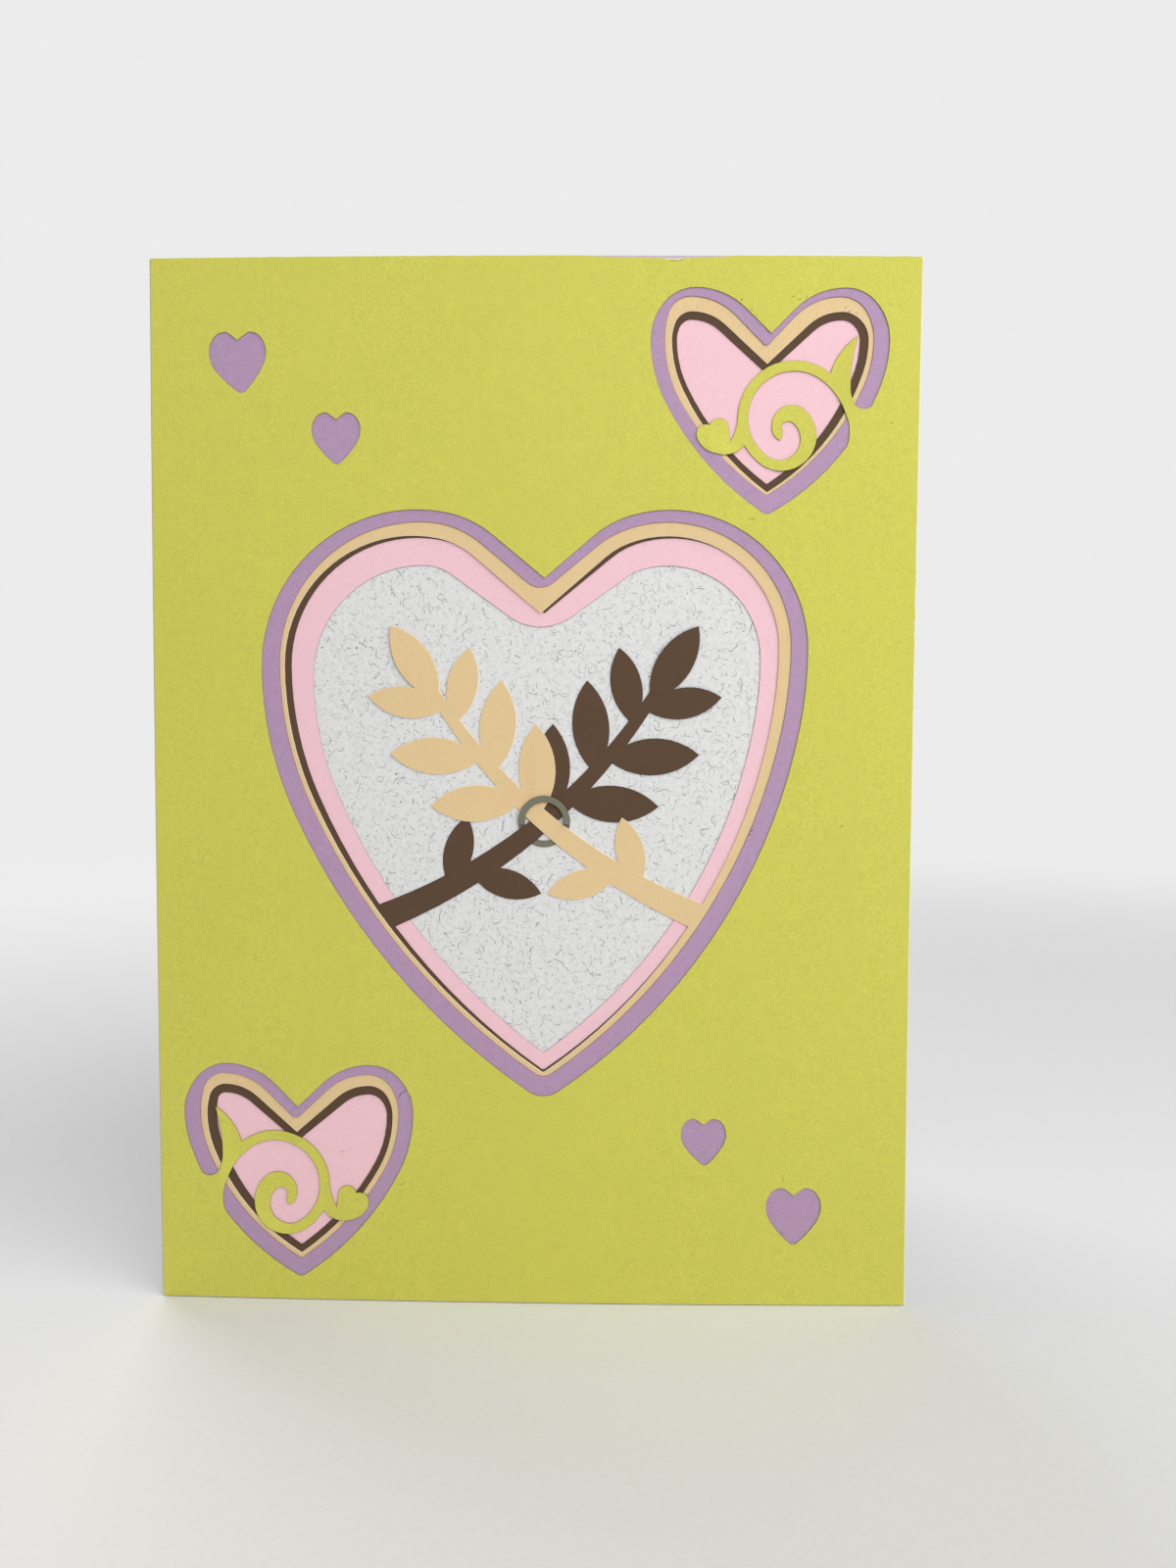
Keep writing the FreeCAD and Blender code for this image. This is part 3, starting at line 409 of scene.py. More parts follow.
@dataclass(frozen=True)
class HandCutEdges:
    """A sheet's outer edges as the knife left them: slanted, a little wavy, and torn in places."""

    torn: tuple[TornRim, ...]
    slant: float = 0.1 * MM
    left_out: float = 0.2 * MM
    right_in: float = 0.03 * MM
    right_wave: float = 1.6 * MM
    right_rough: float = 0.05 * MM
    right_cells: float = 0.7 * MM
    top_out: float = 0.18 * MM
    top_wave: float = 2.5 * MM
    top_rough: float = 0.06 * MM
    top_cells: float = 1.0 * MM
    foot_gap: float = 0.14 * MM

    def apply(self, piece: bpy.types.Object) -> None:
        """Cuts a sheet's right and top edge finely, and moves its edges."""
        right = Patch(HALF_WIDTH - 1.0 * MM, HALF_WIDTH + 1.0 * MM, 0.0, HEIGHT)
        top = Patch(-HALF_WIDTH, HALF_WIDTH, HEIGHT - 1.2 * MM, HEIGHT + 1.0 * MM)
        self.part_off(piece, ACROSS * right.left, ACROSS)
        right.dice(piece, 0.0, self.right_cells)
        self.part_off(piece, UP * top.low, UP)
        top.dice(piece, self.top_cells, 0.0)
        depths = [vertex.co.y for vertex in piece.data.vertices]
        middle = (min(depths) + max(depths)) / 2
        for vertex in piece.data.vertices:
            x, y, z = vertex.co
            slant = self.slant if y < middle else 0.0
            if x > HALF_WIDTH - 0.2 * MM:
                vertex.co.x += self.right_shift(z) - slant
            if x < -HALF_WIDTH + EDGE_BAND:
                vertex.co.x -= self.left_out - slant
            if z > HEIGHT - 0.45 * MM:
                vertex.co.z = min(HEIGHT, z + self.top_shift(x))
            if z < 0.3 * MM:
                vertex.co.z += self.foot_gap

    def part_off(self, piece: bpy.types.Object, place: Vector, normal: Vector) -> None:
        """Cuts the whole sheet once along the inner side of an edge's band."""
        take_up(piece)
        bpy.ops.object.mode_set(mode="EDIT")
        bpy.ops.mesh.select_all(action="SELECT")
        bpy.ops.mesh.bisect(plane_co=place, plane_no=normal, threshold=CUT_WITHIN)
        bpy.ops.object.mode_set(mode="OBJECT")

    def right_shift(self, z: float) -> float:
        """Gives how far the right edge moves out at a height."""
        rough = noise.noise(Vector((0.0, 3.0, z / self.right_wave)))
        torn = sum(rim.push * rim.share_at(z) for rim in self.torn if rim.side is Side.RIGHT)
        return self.right_rough * rough - self.right_in + torn * (1 + rough)

    def top_shift(self, x: float) -> float:
        """Gives how far the top edge moves up at x."""
        rough = noise.noise(Vector((x / self.top_wave, 7.0, 0.0)))
        tears = [rim for rim in self.torn if rim.side is Side.TOP]
        whole = 1.0 - max(rim.share_at(x) for rim in tears)
        return self.top_rough * rough + sum(rim.push * rim.share_at(x) for rim in tears) + self.top_out * whole


# ---------------------------------------------------------------- finishes


class NodeBench:
    """The node tree of a material or world, with short calls for the nodes that paper needs."""

    def __init__(self, owner: bpy.types.Material | bpy.types.World) -> None:
        """Empties the owner's node tree."""
        owner.use_nodes = True
        self.owner = owner
        self.tree = owner.node_tree
        self.tree.nodes.clear()

    def add(self, kind: str, **settings: object) -> bpy.types.Node:
        """Adds a node and sets its properties."""
        node = self.tree.nodes.new(kind)
        for key, value in settings.items():
            setattr(node, key, value)
        return node

    def join(self, source: Socket, target: Socket) -> None:
        """Links two sockets."""
        self.tree.links.new(source, target)

    def feed(self, target: Socket, value: object) -> None:
        """Links a socket to a target, or writes a plain value on it."""
        if isinstance(value, Socket):
            self.join(value, target)
        else:
            target.default_value = value

    def maths(self, operation: str, first: object, second: object = 0.0) -> Socket:
        """Adds a math node on two values or sockets."""
        node = self.add("ShaderNodeMath", operation=operation)
        self.feed(node.inputs[0], first)
        self.feed(node.inputs[1], second)
        return node.outputs[0]

    def product(self, *factors: object) -> Socket:
        """Multiplies two or more values or sockets."""
        total = factors[0]
        for factor in factors[1:]:
            total = self.maths("MULTIPLY", total, factor)
        return total

    def total(self, *parts: object) -> Socket:
        """Adds two or more values or sockets."""
        total = parts[0]
        for part in parts[1:]:
            total = self.maths("ADD", total, part)
        return total

    def strongest(self, masks: list[Socket]) -> Socket:
        """Gives the strongest of some masks at each place."""
        total = masks[0]
        for mask in masks[1:]:
            total = self.maths("MAXIMUM", total, mask)
        return total

    def noise(self, place: Socket, size: float, detail: float = 2.0, rough: float = 0.5) -> Socket:
        """Adds a noise whose grains are about size metres across."""
        node = self.add("ShaderNodeTexNoise", noise_dimensions="3D")
        self.join(place, node.inputs["Vector"])
        node.inputs["Scale"].default_value = 1.0 / size
        node.inputs["Detail"].default_value = detail
        node.inputs["Roughness"].default_value = rough
        return node.outputs["Fac"]

    def wobbled(self, place: Socket, size: float, reach: float) -> Socket:
        """Shifts a place by a noise, so that what is drawn there frays.

        Args:
            place: The place.
            size: The size of the noise's grains.
            reach: How far it shifts.

        Returns:
            The shifted place.
        """
        ripple = self.add("ShaderNodeTexNoise")
        self.join(place, ripple.inputs["Vector"])
        ripple.inputs["Scale"].default_value = 1.0 / size
        shift = self.add("ShaderNodeVectorMath", operation="MULTIPLY_ADD")
        self.join(ripple.outputs["Color"], shift.inputs[0])
        shift.inputs[1].default_value = (reach,) * 3
        self.join(place, shift.inputs[2])
        return shift.outputs[0]

    def cells(self, place: Socket, size: float, dimensions: str = "2D") -> tuple[bpy.types.Node, list[Socket]]:
        """Adds a loose grid of cells.

        Args:
            place: The place.
            size: The cells' size.
            dimensions: "2D" or "3D".

        Returns:
            The cells' node, and three random numbers for the cell at the place.
        """
        grid = self.add("ShaderNodeTexVoronoi", voronoi_dimensions=dimensions, feature="F1")
        self.join(place, grid.inputs["Vector"])
        grid.inputs["Scale"].default_value = 1.0 / size
        chance = self.add("ShaderNodeSeparateColor")
        self.join(grid.outputs["Color"], chance.inputs[0])
        return grid, list(chance.outputs)

    def axes(self, place: Socket) -> dict[str, Socket]:
        """Parts a place into X, Y and Z."""
        parts = self.add("ShaderNodeSeparateXYZ")
        self.join(place, parts.inputs[0])
        return {name: parts.outputs[name] for name in "XYZ"}

    def length(self, place: Socket) -> Socket:
        """Gives a place's distance from the origin."""
        node = self.add("ShaderNodeVectorMath", operation="LENGTH")
        self.join(place, node.inputs[0])
        return node.outputs["Value"]

    def spread(
        self, value: object, low: float, high: float, to_low: float, to_high: float, smooth: bool = False
    ) -> Socket:
        """Maps a range of values onto another one, held at its ends.

        Args:
            value: The value.
            low: The range's lower end.
            high: The range's upper end.
            to_low: What the lower end becomes.
            to_high: What the upper end becomes.
            smooth: Whether to ease in and out.

        Returns:
            The mapped value.
        """
        node = self.add("ShaderNodeMapRange", clamp=True)
        if smooth:
            node.interpolation_type = "SMOOTHSTEP"
        self.feed(node.inputs["Value"], value)
        for key, number in (("From Min", low), ("From Max", high), ("To Min", to_low), ("To Max", to_high)):
            node.inputs[key].default_value = number
        return node.outputs["Result"]

    def mix(self, share: object, first: object, second: object) -> Socket:
        """Mixes two colours."""
        node = self.add("ShaderNodeMix", data_type="RGBA", blend_type="MIX")
        self.feed(node.inputs[0], share)
        self.feed(node.inputs[6], first)
        self.feed(node.inputs[7], second)
        return node.outputs[2]

    def shade(self, colour: tuple[float, float, float, float], factor: Socket) -> Socket:
        """Multiplies a colour by a grey factor."""
        base = self.add("ShaderNodeRGB")
        base.outputs[0].default_value = colour
        node = self.add("ShaderNodeVectorMath", operation="SCALE")
        self.join(base.outputs[0], node.inputs[0])
        self.join(factor, node.inputs["Scale"])
        return node.outputs[0]

    def matt(self, colour: Socket, rough: Socket, height: Socket, depth: float) -> Socket:
        """Adds a matt paper shader.

        Args:
            colour: The base colour.
            rough: The roughness.
            height: The relief, 0 to 1.
            depth: What a height of 1 stands for.

        Returns:
            The shader's socket.
        """
        bump = self.add("ShaderNodeBump")
        bump.inputs["Strength"].default_value = 1.0
        bump.inputs["Distance"].default_value = depth
        self.join(height, bump.inputs["Height"])
        shader = self.add("ShaderNodeBsdfPrincipled")
        shader.inputs["Specular IOR Level"].default_value = 0.25
        self.join(colour, shader.inputs["Base Color"])
        self.join(rough, shader.inputs["Roughness"])
        self.join(bump.outputs["Normal"], shader.inputs["Normal"])
        return shader.outputs["BSDF"]

    def plain(self, kind: str, level: float, strength: float = 1.0) -> Socket:
        """Adds a grey emission or background shader."""
        node = self.add(kind)
        node.inputs["Color"].default_value = (level,) * 3 + (1.0,)
        node.inputs["Strength"].default_value = strength
        return node.outputs[0]

    def mix_shaders(self, share: Socket, first: Socket, second: Socket) -> Socket:
        """Mixes two shaders."""
        node = self.add("ShaderNodeMixShader")
        for source, target in zip((share, first, second), node.inputs):
            self.join(source, target)
        return node.outputs[0]

    def finish(self, surface: Socket) -> bpy.types.Material | bpy.types.World:
        """Joins the surface to the output, and gives the material or world."""
        kind = "ShaderNodeOutputWorld" if isinstance(self.owner, bpy.types.World) else "ShaderNodeOutputMaterial"
        self.join(surface, self.add(kind).inputs["Surface"])
        return self.owner


@dataclass(frozen=True)
class Mark:
    """A small pit, burr or scratch on a sheet, or a painted shadow line, at a place on the front."""

    x: float
    z: float
    length: float
    width: float
    turn: float
    strength: float

    def mask(self, bench: NodeBench, wobbled: Socket) -> Socket:
        """Adds the nodes that are strongest in the mark and 0 round it."""
        move = bench.add("ShaderNodeMapping", vector_type="TEXTURE")
        move.inputs["Location"].default_value = (self.x, 0.0, self.z)
        move.inputs["Rotation"].default_value = (0.0, math.radians(-self.turn), 0.0)
        move.inputs["Scale"].default_value = (self.length, 1.0, self.width)
        bench.join(wobbled, move.inputs["Vector"])
        return bench.spread(bench.length(move.outputs[0]), 0.25, 0.6, self.strength, 0.0, smooth=True)


def at(x: float, z: float, length: float, width: float, turn: float, strength: float) -> Mark:
    """Makes a mark from its place and size in millimetres, and its turn in degrees."""
    return Mark(x * MM, z * MM, length * MM, width * MM, turn, strength)


@dataclass(frozen=True)
class ColouredPaper:
    """A plain coloured paper with a fine mottle, small flecks and another tone at its cuts: the pale core at the
    outer edges, and at the windows' rims a tone that is painted shade where it is darker than the paper.
    """

    name: str
    colour: tuple[float, float, float]
    mottle: float = 0.03
    fleck: float = 0.08
    # The windows' rims: a dark tone here is painted shade, for the shade in the narrow cut walls and the gaps below
    # them; a pale one is the paper's core.
    rim: tuple[float, float, float] = (78, 56, 42)
    rim_share: float = 0.75
    core: tuple[float, float, float] = (240, 238, 205)
    core_share: float = 0.6
    marks: tuple[Mark, ...] = ()
    mark_colour: tuple[float, float, float] = (110, 100, 40)
    torn: tuple[TornRim, ...] = ()
    wide_sway: float = 0.15
    middle_sway: float = 0.6
    fine_sway: float = 1.8
    fleck_cell: float = 1.8 * MM

    def build(self) -> bpy.types.Material:
        """Makes the material."""
        bench = NodeBench(bpy.data.materials.new(self.name))
        place = bench.add("ShaderNodeTexCoord").outputs["Object"]
        middle = bench.noise(place, 1.4 * MM, 3.0, 0.65)
        fine = bench.noise(place, 0.3 * MM, 2.0, 0.7)
        colour = bench.shade(tone(*self.colour), self.mottling(bench, place, middle, fine))
        cut = bench.add("ShaderNodeAttribute", attribute_name=CUT).outputs["Fac"]
        outer = bench.spread(cut, 1.0, 2.0, 0.0, 1.0)
        window = bench.maths("SUBTRACT", bench.spread(cut, 0.0, 1.0, 0.0, 1.0), outer)
        # Painted shade: the windows' rims take the rim tone, which is dark in most papers.
        colour = bench.mix(bench.product(window, self.rim_share), colour, tone(*self.rim))
        colour = bench.mix(bench.product(outer, self.core_share), colour, tone(*self.core))
        colour = self.worn_and_shadowed(bench, place, colour)
        rough = bench.spread(middle, 0.3, 0.7, 0.78, 0.92)
        return bench.finish(bench.matt(colour, rough, fine, 0.025 * MM))

    def mottling(self, bench: NodeBench, place: Socket, middle: Socket, fine: Socket) -> Socket:
        """Adds the nodes that lighten and darken the paper.

        Args:
            bench: The material's bench.
            place: The place on the sheet.
            middle: A noise of some 1.4 mm.
            fine: A noise of some 0.3 mm.

        Returns:
            A factor about 1.
        """
        wide = bench.noise(place, 17 * MM, 2.0)
        shares = ((wide, 0.3, self.wide_sway), (middle, 0.3, self.middle_sway), (fine, 0.25, self.fine_sway))
        sways = [bench.spread(grain, low, 1.0 - low, -k * self.mottle, k * self.mottle) for grain, low, k in shares]
        cells, chance = bench.cells(place, self.fleck_cell, "3D")
        spot = bench.spread(cells.outputs["Distance"], 0.06, 0.16, 1.0, 0.0, smooth=True)
        sign = bench.spread(chance[0], 0.1, 0.9, -self.fleck, self.fleck)
        return bench.total(1.0, *sways, bench.product(spot, sign))

    def worn_and_shadowed(self, bench: NodeBench, place: Socket, colour: Socket) -> Socket:
        """Adds the small marks, painted shadow lines among them, and the torn rims over a colour."""
        if self.marks:
            frayed = bench.wobbled(place, 0.25 * MM, 0.35 * MM)
            masks = [mark.mask(bench, frayed) for mark in self.marks]
            colour = bench.mix(bench.strongest(masks), colour, tone(*self.mark_colour))
        if self.torn:
            axes = bench.axes(place)
            ragged = bench.noise(place, 1.1 * MM, 2.0)
            masks = [rim.mask(bench, axes["X"], axes["Z"], ragged) for rim in self.torn]
            colour = bench.mix(bench.strongest(masks), colour, tone(*TORN_CORE))
        return colour


@dataclass(frozen=True)
class FibreLayer:
    """One scatter of curled fibres: a fibre in some cells of a loose grid."""

    cell: float
    length: float
    half_width: float
    curl: float
    chance: float
    dark: float
    seed: float

    def mask(self, bench: NodeBench, place: Socket) -> Socket:
        """Adds the nodes that give how dark a fibre is at a place.

        Args:
            bench: The material's bench.
            place: The place on the flat sheet.

        Returns:
            0 on bare paper, up to dark in a fibre's middle.
        """
        shifted = bench.add("ShaderNodeVectorMath", operation="ADD")
        bench.join(place, shifted.inputs[0])
        shifted.inputs[1].default_value = (0.37 * self.seed, 0.21 * self.seed, 0.0)
        cells, chance = bench.cells(shifted.outputs[0], self.cell)
        own = bench.add("ShaderNodeVectorMath", operation="SUBTRACT")
        bench.join(shifted.outputs[0], own.inputs[0])
        bench.join(cells.outputs["Position"], own.inputs[1])
        turned = bench.add("ShaderNodeVectorRotate", rotation_type="Z_AXIS")
        bench.join(own.outputs[0], turned.inputs["Vector"])
        bench.join(bench.product(chance[0], 2 * math.pi), turned.inputs["Angle"])
        axes = bench.axes(turned.outputs[0])
        along, across = axes["X"], axes["Y"]
        bend = bench.spread(chance[1], 0.0, 1.0, -self.curl, self.curl)
        off = bench.maths("ABSOLUTE", bench.maths("SUBTRACT", across, bench.product(along, along, bend)))
        line = bench.spread(off, 0.5 * self.half_width, 1.6 * self.half_width, 1.0, 0.0, smooth=True)
        reach = bench.spread(chance[2], 0.0, 1.0, 0.2 * self.length, 0.5 * self.length)
        past = bench.maths("SUBTRACT", bench.maths("ABSOLUTE", along), reach)
        tail = bench.spread(past, -0.15 * MM, 0.05 * MM, 1.0, 0.0)
        luck = bench.add("ShaderNodeTexWhiteNoise", noise_dimensions="2D")
        bench.join(cells.outputs["Position"], luck.inputs["Vector"])
        shade = bench.spread(luck.outputs["Value"], 1.0 - self.chance, 1.0, 0.25 * self.dark, self.dark)
        here = bench.maths("GREATER_THAN", luck.outputs["Value"], 1.0 - self.chance)
        return bench.product(line, tail, shade, here)


@dataclass(frozen=True)
class FibrePaper:
    """Grey-white handmade paper with short curled fibres and a few dark specks."""

    name: str = "fibre_paper"
    colour: tuple[float, float, float] = (227, 227, 227)
    layers: tuple[FibreLayer, ...] = (
        FibreLayer(3.1 * MM, 2.6 * MM, 0.055 * MM, 900.0, 0.5, 0.8, 1.0),
        FibreLayer(2.1 * MM, 1.7 * MM, 0.05 * MM, 1500.0, 0.6, 0.8, 2.0),
        FibreLayer(1.6 * MM, 1.5 * MM, 0.05 * MM, 1500.0, 0.75, 0.5, 3.0),
        FibreLayer(1.1 * MM, 0.7 * MM, 0.065 * MM, 1500.0, 0.6, 0.7, 4.0),
        FibreLayer(0.8 * MM, 0.5 * MM, 0.08 * MM, 1200.0, 0.6, 0.3, 5.0),
    )
    speck_cell: float = 4.2 * MM

    def build(self) -> bpy.types.Material:
        """Makes the material."""
        bench = NodeBench(bpy.data.materials.new(self.name))
        place = bench.add("ShaderNodeUVMap", uv_map=FLAT).outputs["UV"]
        middle = bench.noise(place, 0.9 * MM, 3.0, 0.6)
        fine = bench.noise(place, 0.22 * MM, 2.0, 0.6)
        wobbled = bench.wobbled(place, 0.9 * MM, 0.45 * MM)
        fibres = [layer.mask(bench, wobbled) for layer in self.layers]
        dark = bench.strongest([*fibres, self.specks(bench, wobbled)])
        blotch = bench.spread(middle, 0.3, 0.72, -0.08, 0.04)
        grain = bench.spread(fine, 0.25, 0.75, -0.045, 0.045)
        paper = bench.shade(tone(*self.colour), bench.total(1.0, blotch, grain))
        colour = bench.mix(dark, paper, tone(*FIBRE))
        rough = bench.spread(middle, 0.3, 0.7, 0.8, 0.95)
        height = bench.total(fine, bench.product(dark, 0.6))
        return bench.finish(bench.matt(colour, rough, height, 0.03 * MM))

    def specks(self, bench: NodeBench, place: Socket) -> Socket:
        """Adds the few near-black specks."""
        cells, chance = bench.cells(place, self.speck_cell)
        size = bench.spread(chance[1], 0.0, 1.0, 0.014, 0.032)
        near = bench.maths("SUBTRACT", cells.outputs["Distance"], size)
        spot = bench.spread(near, -0.006, 0.006, 0.85, 0.0)
        return bench.product(spot, bench.maths("GREATER_THAN", chance[0], 0.45))


# ---------------------------------------------------------------- the card


def dress(piece: bpy.types.Object, material: bpy.types.Material, node_name: str) -> None:
    """Finishes a piece: smooth faces, its material, and its place in the row.

    Args:
        piece: The shaped piece.
        material: Its paper.
        node_name: The CAD node that it stands for.
    """
    take_up(piece)
    bpy.ops.object.shade_smooth_by_angle(angle=SMOOTH_ANGLE)
    piece.data.materials.clear()
    piece.data.materials.append(material)
    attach(piece, "root")
    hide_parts(node_name)
    LOG.info("%s: %d faces", piece.name, len(piece.data.polygons))


@dataclass(frozen=True)
class FoldedPaper:
    """The folded fibre paper that carries the front's sheets."""

    paper: FibrePaper = FibrePaper()
    bow: FrontBow = FrontBow()
    rim: float = 0.06 * MM
    strip: float = 6.0 * MM
    inside_shift: float = 0.31

    def build(self) -> None:
        """Shapes and dresses the folded sheet."""
        piece = merged_copy("card_base", "folded_fibre_paper")
        soften_rims(piece, self.rim)
        WHOLE_FRONT.dice(piece, self.strip, self.strip)
        self.lay_flat(piece)
        self.bow.apply(piece)
        dress(piece, self.paper.build(), "card_base")

    def lay_flat(self, piece: bpy.types.Object) -> None:
        """Writes the place of every face corner on the unfolded sheet, for the fibres."""
        mesh = piece.data
        layer = mesh.uv_layers.new(name=FLAT)
        mesh.uv_layers.active = layer
        for face in mesh.polygons:
            inside = face.normal.y > 0.5 and face.center.y < FRONT_PANEL_BACK
            shift = self.inside_shift if inside else 0.0
            for loop in face.loop_indices:
                x, y, z = mesh.vertices[mesh.loops[loop].vertex_index].co
                if y < FRONT_PANEL_BACK and x > FOLD_X:
                    along = x
                else:
                    along = FOLD_X - math.hypot(x - FOLD_X, y - FOLD_Y)
                layer.data[loop].uv = (along + shift, z)


@dataclass(frozen=True)
class CutSheet:
    """One cut sheet of the layered front."""

    node_name: str
    name: str
    slot_name: str
    paper: ColouredPaper
    level: int
    free: tuple[Patch, ...] = ()
    tips: tuple[LiftedTip, ...] = ()
    edges: HandCutEdges | None = None
    bow: FrontBow = FrontBow()
    rim: float = 0.045 * MM
    strip: float = 6.0 * MM
    fine_strip: float = 1.5 * MM

    def build(self, stack: PressedStack) -> None:
        """Shapes the sheet from its CAD solid and dresses it.

        Args:
            stack: The sheets below, which carry this one.
        """
        piece = merged_copy(self.node_name, self.name)
        soften_rims(piece, self.rim)
        WHOLE_FRONT.dice(piece, self.strip, self.strip)
        for patch in self.free:
            patch.dice(piece, self.fine_strip, self.fine_strip)
        if self.edges:
            self.edges.apply(piece)
        mark_cuts(piece)
        stack.settle(piece, self.level, self.free)
        self.bow.apply(piece, self.tips)
        dress(piece, self.paper.build(), self.node_name)


LIME_TIPS = (
    LiftedTip(53.9 * MM, 165.1 * MM, 0.12 * MM, 4.0 * MM),
    LiftedTip(-54.7 * MM, 33.9 * MM, 0.1 * MM, 4.0 * MM),
    LiftedTip(29.8 * MM, 148.1 * MM, 0.06 * MM, 3.5 * MM),
    LiftedTip(-31.2 * MM, 16.5 * MM, 0.07 * MM, 3.5 * MM),
)
TAN_TIPS = (
    LiftedTip(-24.0 * MM, 114.0 * MM, 0.25 * MM, 9.0 * MM),
    LiftedTip(-26.0 * MM, 94.0 * MM, 0.12 * MM, 6.0 * MM),
)
BROWN_TIPS = (
    LiftedTip(27.0 * MM, 114.0 * MM, 0.3 * MM, 9.0 * MM),
    LiftedTip(29.0 * MM, 94.0 * MM, 0.12 * MM, 6.0 * MM),
)

LIME_TORN = (
    TornRim(Side.RIGHT, 124.2 * MM, 126.6 * MM, 0.14 * MM, 0.28 * MM),
    TornRim(Side.RIGHT, 115.6 * MM, 119.2 * MM, 0.16 * MM, 0.34 * MM),
    TornRim(Side.RIGHT, 112.2 * MM, 114.2 * MM, 0.1 * MM, 0.28 * MM),
    TornRim(Side.RIGHT, 95.0 * MM, 97.6 * MM, 0.04 * MM, 0.18 * MM),
    TornRim(Side.RIGHT, 89.6 * MM, 91.0 * MM, 0.04 * MM, 0.18 * MM),
    TornRim(Side.RIGHT, 83.2 * MM, 84.6 * MM, 0.03 * MM, 0.16 * MM),
    TornRim(Side.TOP, 9.0 * MM, 33.0 * MM, -0.22 * MM, 0.3 * MM),
    TornRim(Side.TOP, 19.6 * MM, 27.2 * MM, -0.1 * MM, 0.75 * MM),
)
LILAC_TORN = (TornRim(Side.TOP, -5.0 * MM, 45.0 * MM, 0.0, 0.9 * MM, 0.4),)

# The front sheet's pits and scuffs, most of them by the upper heart, and first a painted shadow under the torn chip
# at the top edge.
LIME_MARKS = (
    # Painted shadow: a thin dark line under the torn chip at the top edge.
    at(23.6, 177.3, 3.2, 0.17, 3, 0.6),
    at(34.7, 170.9, 0.5, 0.35, 60, 0.7),
    at(34.3, 170.3, 0.3, 0.3, 0, 0.6),
    at(36.4, 169.2, 0.9, 0.22, -45, 0.6),
    at(37.1, 168.4, 0.8, 0.2, -45, 0.5),
    at(38.0, 167.1, 0.6, 0.2, -50, 0.5),
    at(43.3, 171.5, 1.0, 0.22, 10, 0.5),
    at(44.3, 171.1, 0.8, 0.25, 25, 0.55),
    at(45.4, 171.4, 0.7, 0.22, 30, 0.5),
    at(60.0, 150.9, 0.4, 0.35, 0, 0.6),
    at(37.0, 134.9, 1.6, 0.2, 5, 0.45),
    at(-46.6, 41.3, 0.4, 0.35, 0, 0.55),
    at(-22.2, 20.9, 1.1, 0.5, 30, 0.22),
    at(-20.8, 36.1, 0.9, 0.3, 75, 0.45),
    at(43.5, 22.6, 1.2, 0.25, 80, 0.3),
    at(52.6, 83.4, 0.6, 0.3, 60, 0.5),
    at(52.4, 116.4, 0.5, 0.3, 0, 0.3),
)
LILAC_MARKS = (
    at(-22.1, 37.0, 2.6, 0.16, 35, 0.8),
    at(-22.7, 36.2, 1.4, 0.14, 55, 0.7),
    at(-27.0, 10.8, 0.8, 0.5, 0, 0.3),
    at(37.4, 82.6, 0.9, 0.25, 50, 0.7),
    at(37.0, 81.9, 0.6, 0.3, 30, 0.6),
    at(43.4, 12.9, 0.5, 0.2, -55, 0.8),
)
TAN_MARKS = (
    at(49.2, 168.7, 0.5, 0.35, 10, 0.5),
    at(48.0, 167.9, 0.6, 0.3, 20, 0.5),
    at(52.0, 169.9, 0.6, 0.3, 60, 0.6),
    at(52.6, 169.2, 0.9, 0.3, 50, 0.6),
    at(53.8, 169.1, 0.5, 0.3, 70, 0.5),
)
PINK_MARKS = (at(-32.6, 26.3, 0.9, 0.18, 0, 0.6),)
DARK_MARK = (70, 50, 60)

# The dark rim tones are painted shade at the windows' rims; tan's pale rim is its core.
PINK = ColouredPaper("pink_card", (242, 199, 208), marks=PINK_MARKS, mark_colour=DARK_MARK, rim=(130, 84, 110))
BROWN = ColouredPaper("brown_card", (89, 68, 51), mottle=0.04, rim=(48, 34, 28))
TAN = ColouredPaper("tan_card", (227, 198, 149), marks=TAN_MARKS, mark_colour=(130, 105, 60), rim=(250, 240, 220))
LILAC = ColouredPaper(
    "lilac_card",
    (179, 147, 179),
    mottle=0.06,
    marks=LILAC_MARKS,
    mark_colour=DARK_MARK,
    rim=(88, 58, 76),
    core=(236, 226, 234),
    torn=LILAC_TORN,
)
LIME = ColouredPaper("lime_card", (206, 203, 90), mottle=0.06, marks=LIME_MARKS, torn=LIME_TORN)
GREY = ColouredPaper("grey_card", (120, 118, 100), rim=(80, 76, 66))


@dataclass(frozen=True)
class LayeredFront:
    """The five cut sheets and the small ring, from the deepest to the front one."""

    slope: float = 0.14
    thickness: float = 0.15 * MM
    ease: float = 0.9

    def sheets(self) -> tuple[CutSheet, ...]:
        """Lists the sheets and, last, the ring."""
        middle = (HEART_MIDDLE,)
        corners = (UPPER_CORNER, LOWER_CORNER)
        edges = HandCutEdges(LIME_TORN)
        return (
            CutSheet("pink_sheet", "pink_cut_sheet", "pink_paper", PINK, 1),
            CutSheet("brown_sheet", "brown_cut_sheet", "brown_paper", BROWN, 2, middle, BROWN_TIPS),
            CutSheet("tan_sheet", "tan_cut_sheet", "tan_paper", TAN, 3, middle, TAN_TIPS),
            CutSheet("lilac_sheet", "lilac_cut_sheet", "lilac_paper", LILAC, 4),
            CutSheet("lime_sheet", "lime_cut_sheet", "lime_paper", LIME, 5, corners, LIME_TIPS, edges),
            CutSheet("paper_ring", "grey_ring", "grey_paper", GREY, 4),
        )

    def build(self) -> None:
        """Shapes and dresses every sheet, and lets each carry the next ones."""
        stack = PressedStack(self.slope, self.thickness, self.ease)
        stack.add(1, "paper_ring", back_only=True)
        for sheet in self.sheets():
            sheet.build(stack)
            if sheet.node_name != "paper_ring":
                stack.add(sheet.level, sheet.node_name)


# ---------------------------------------------------------------- studio


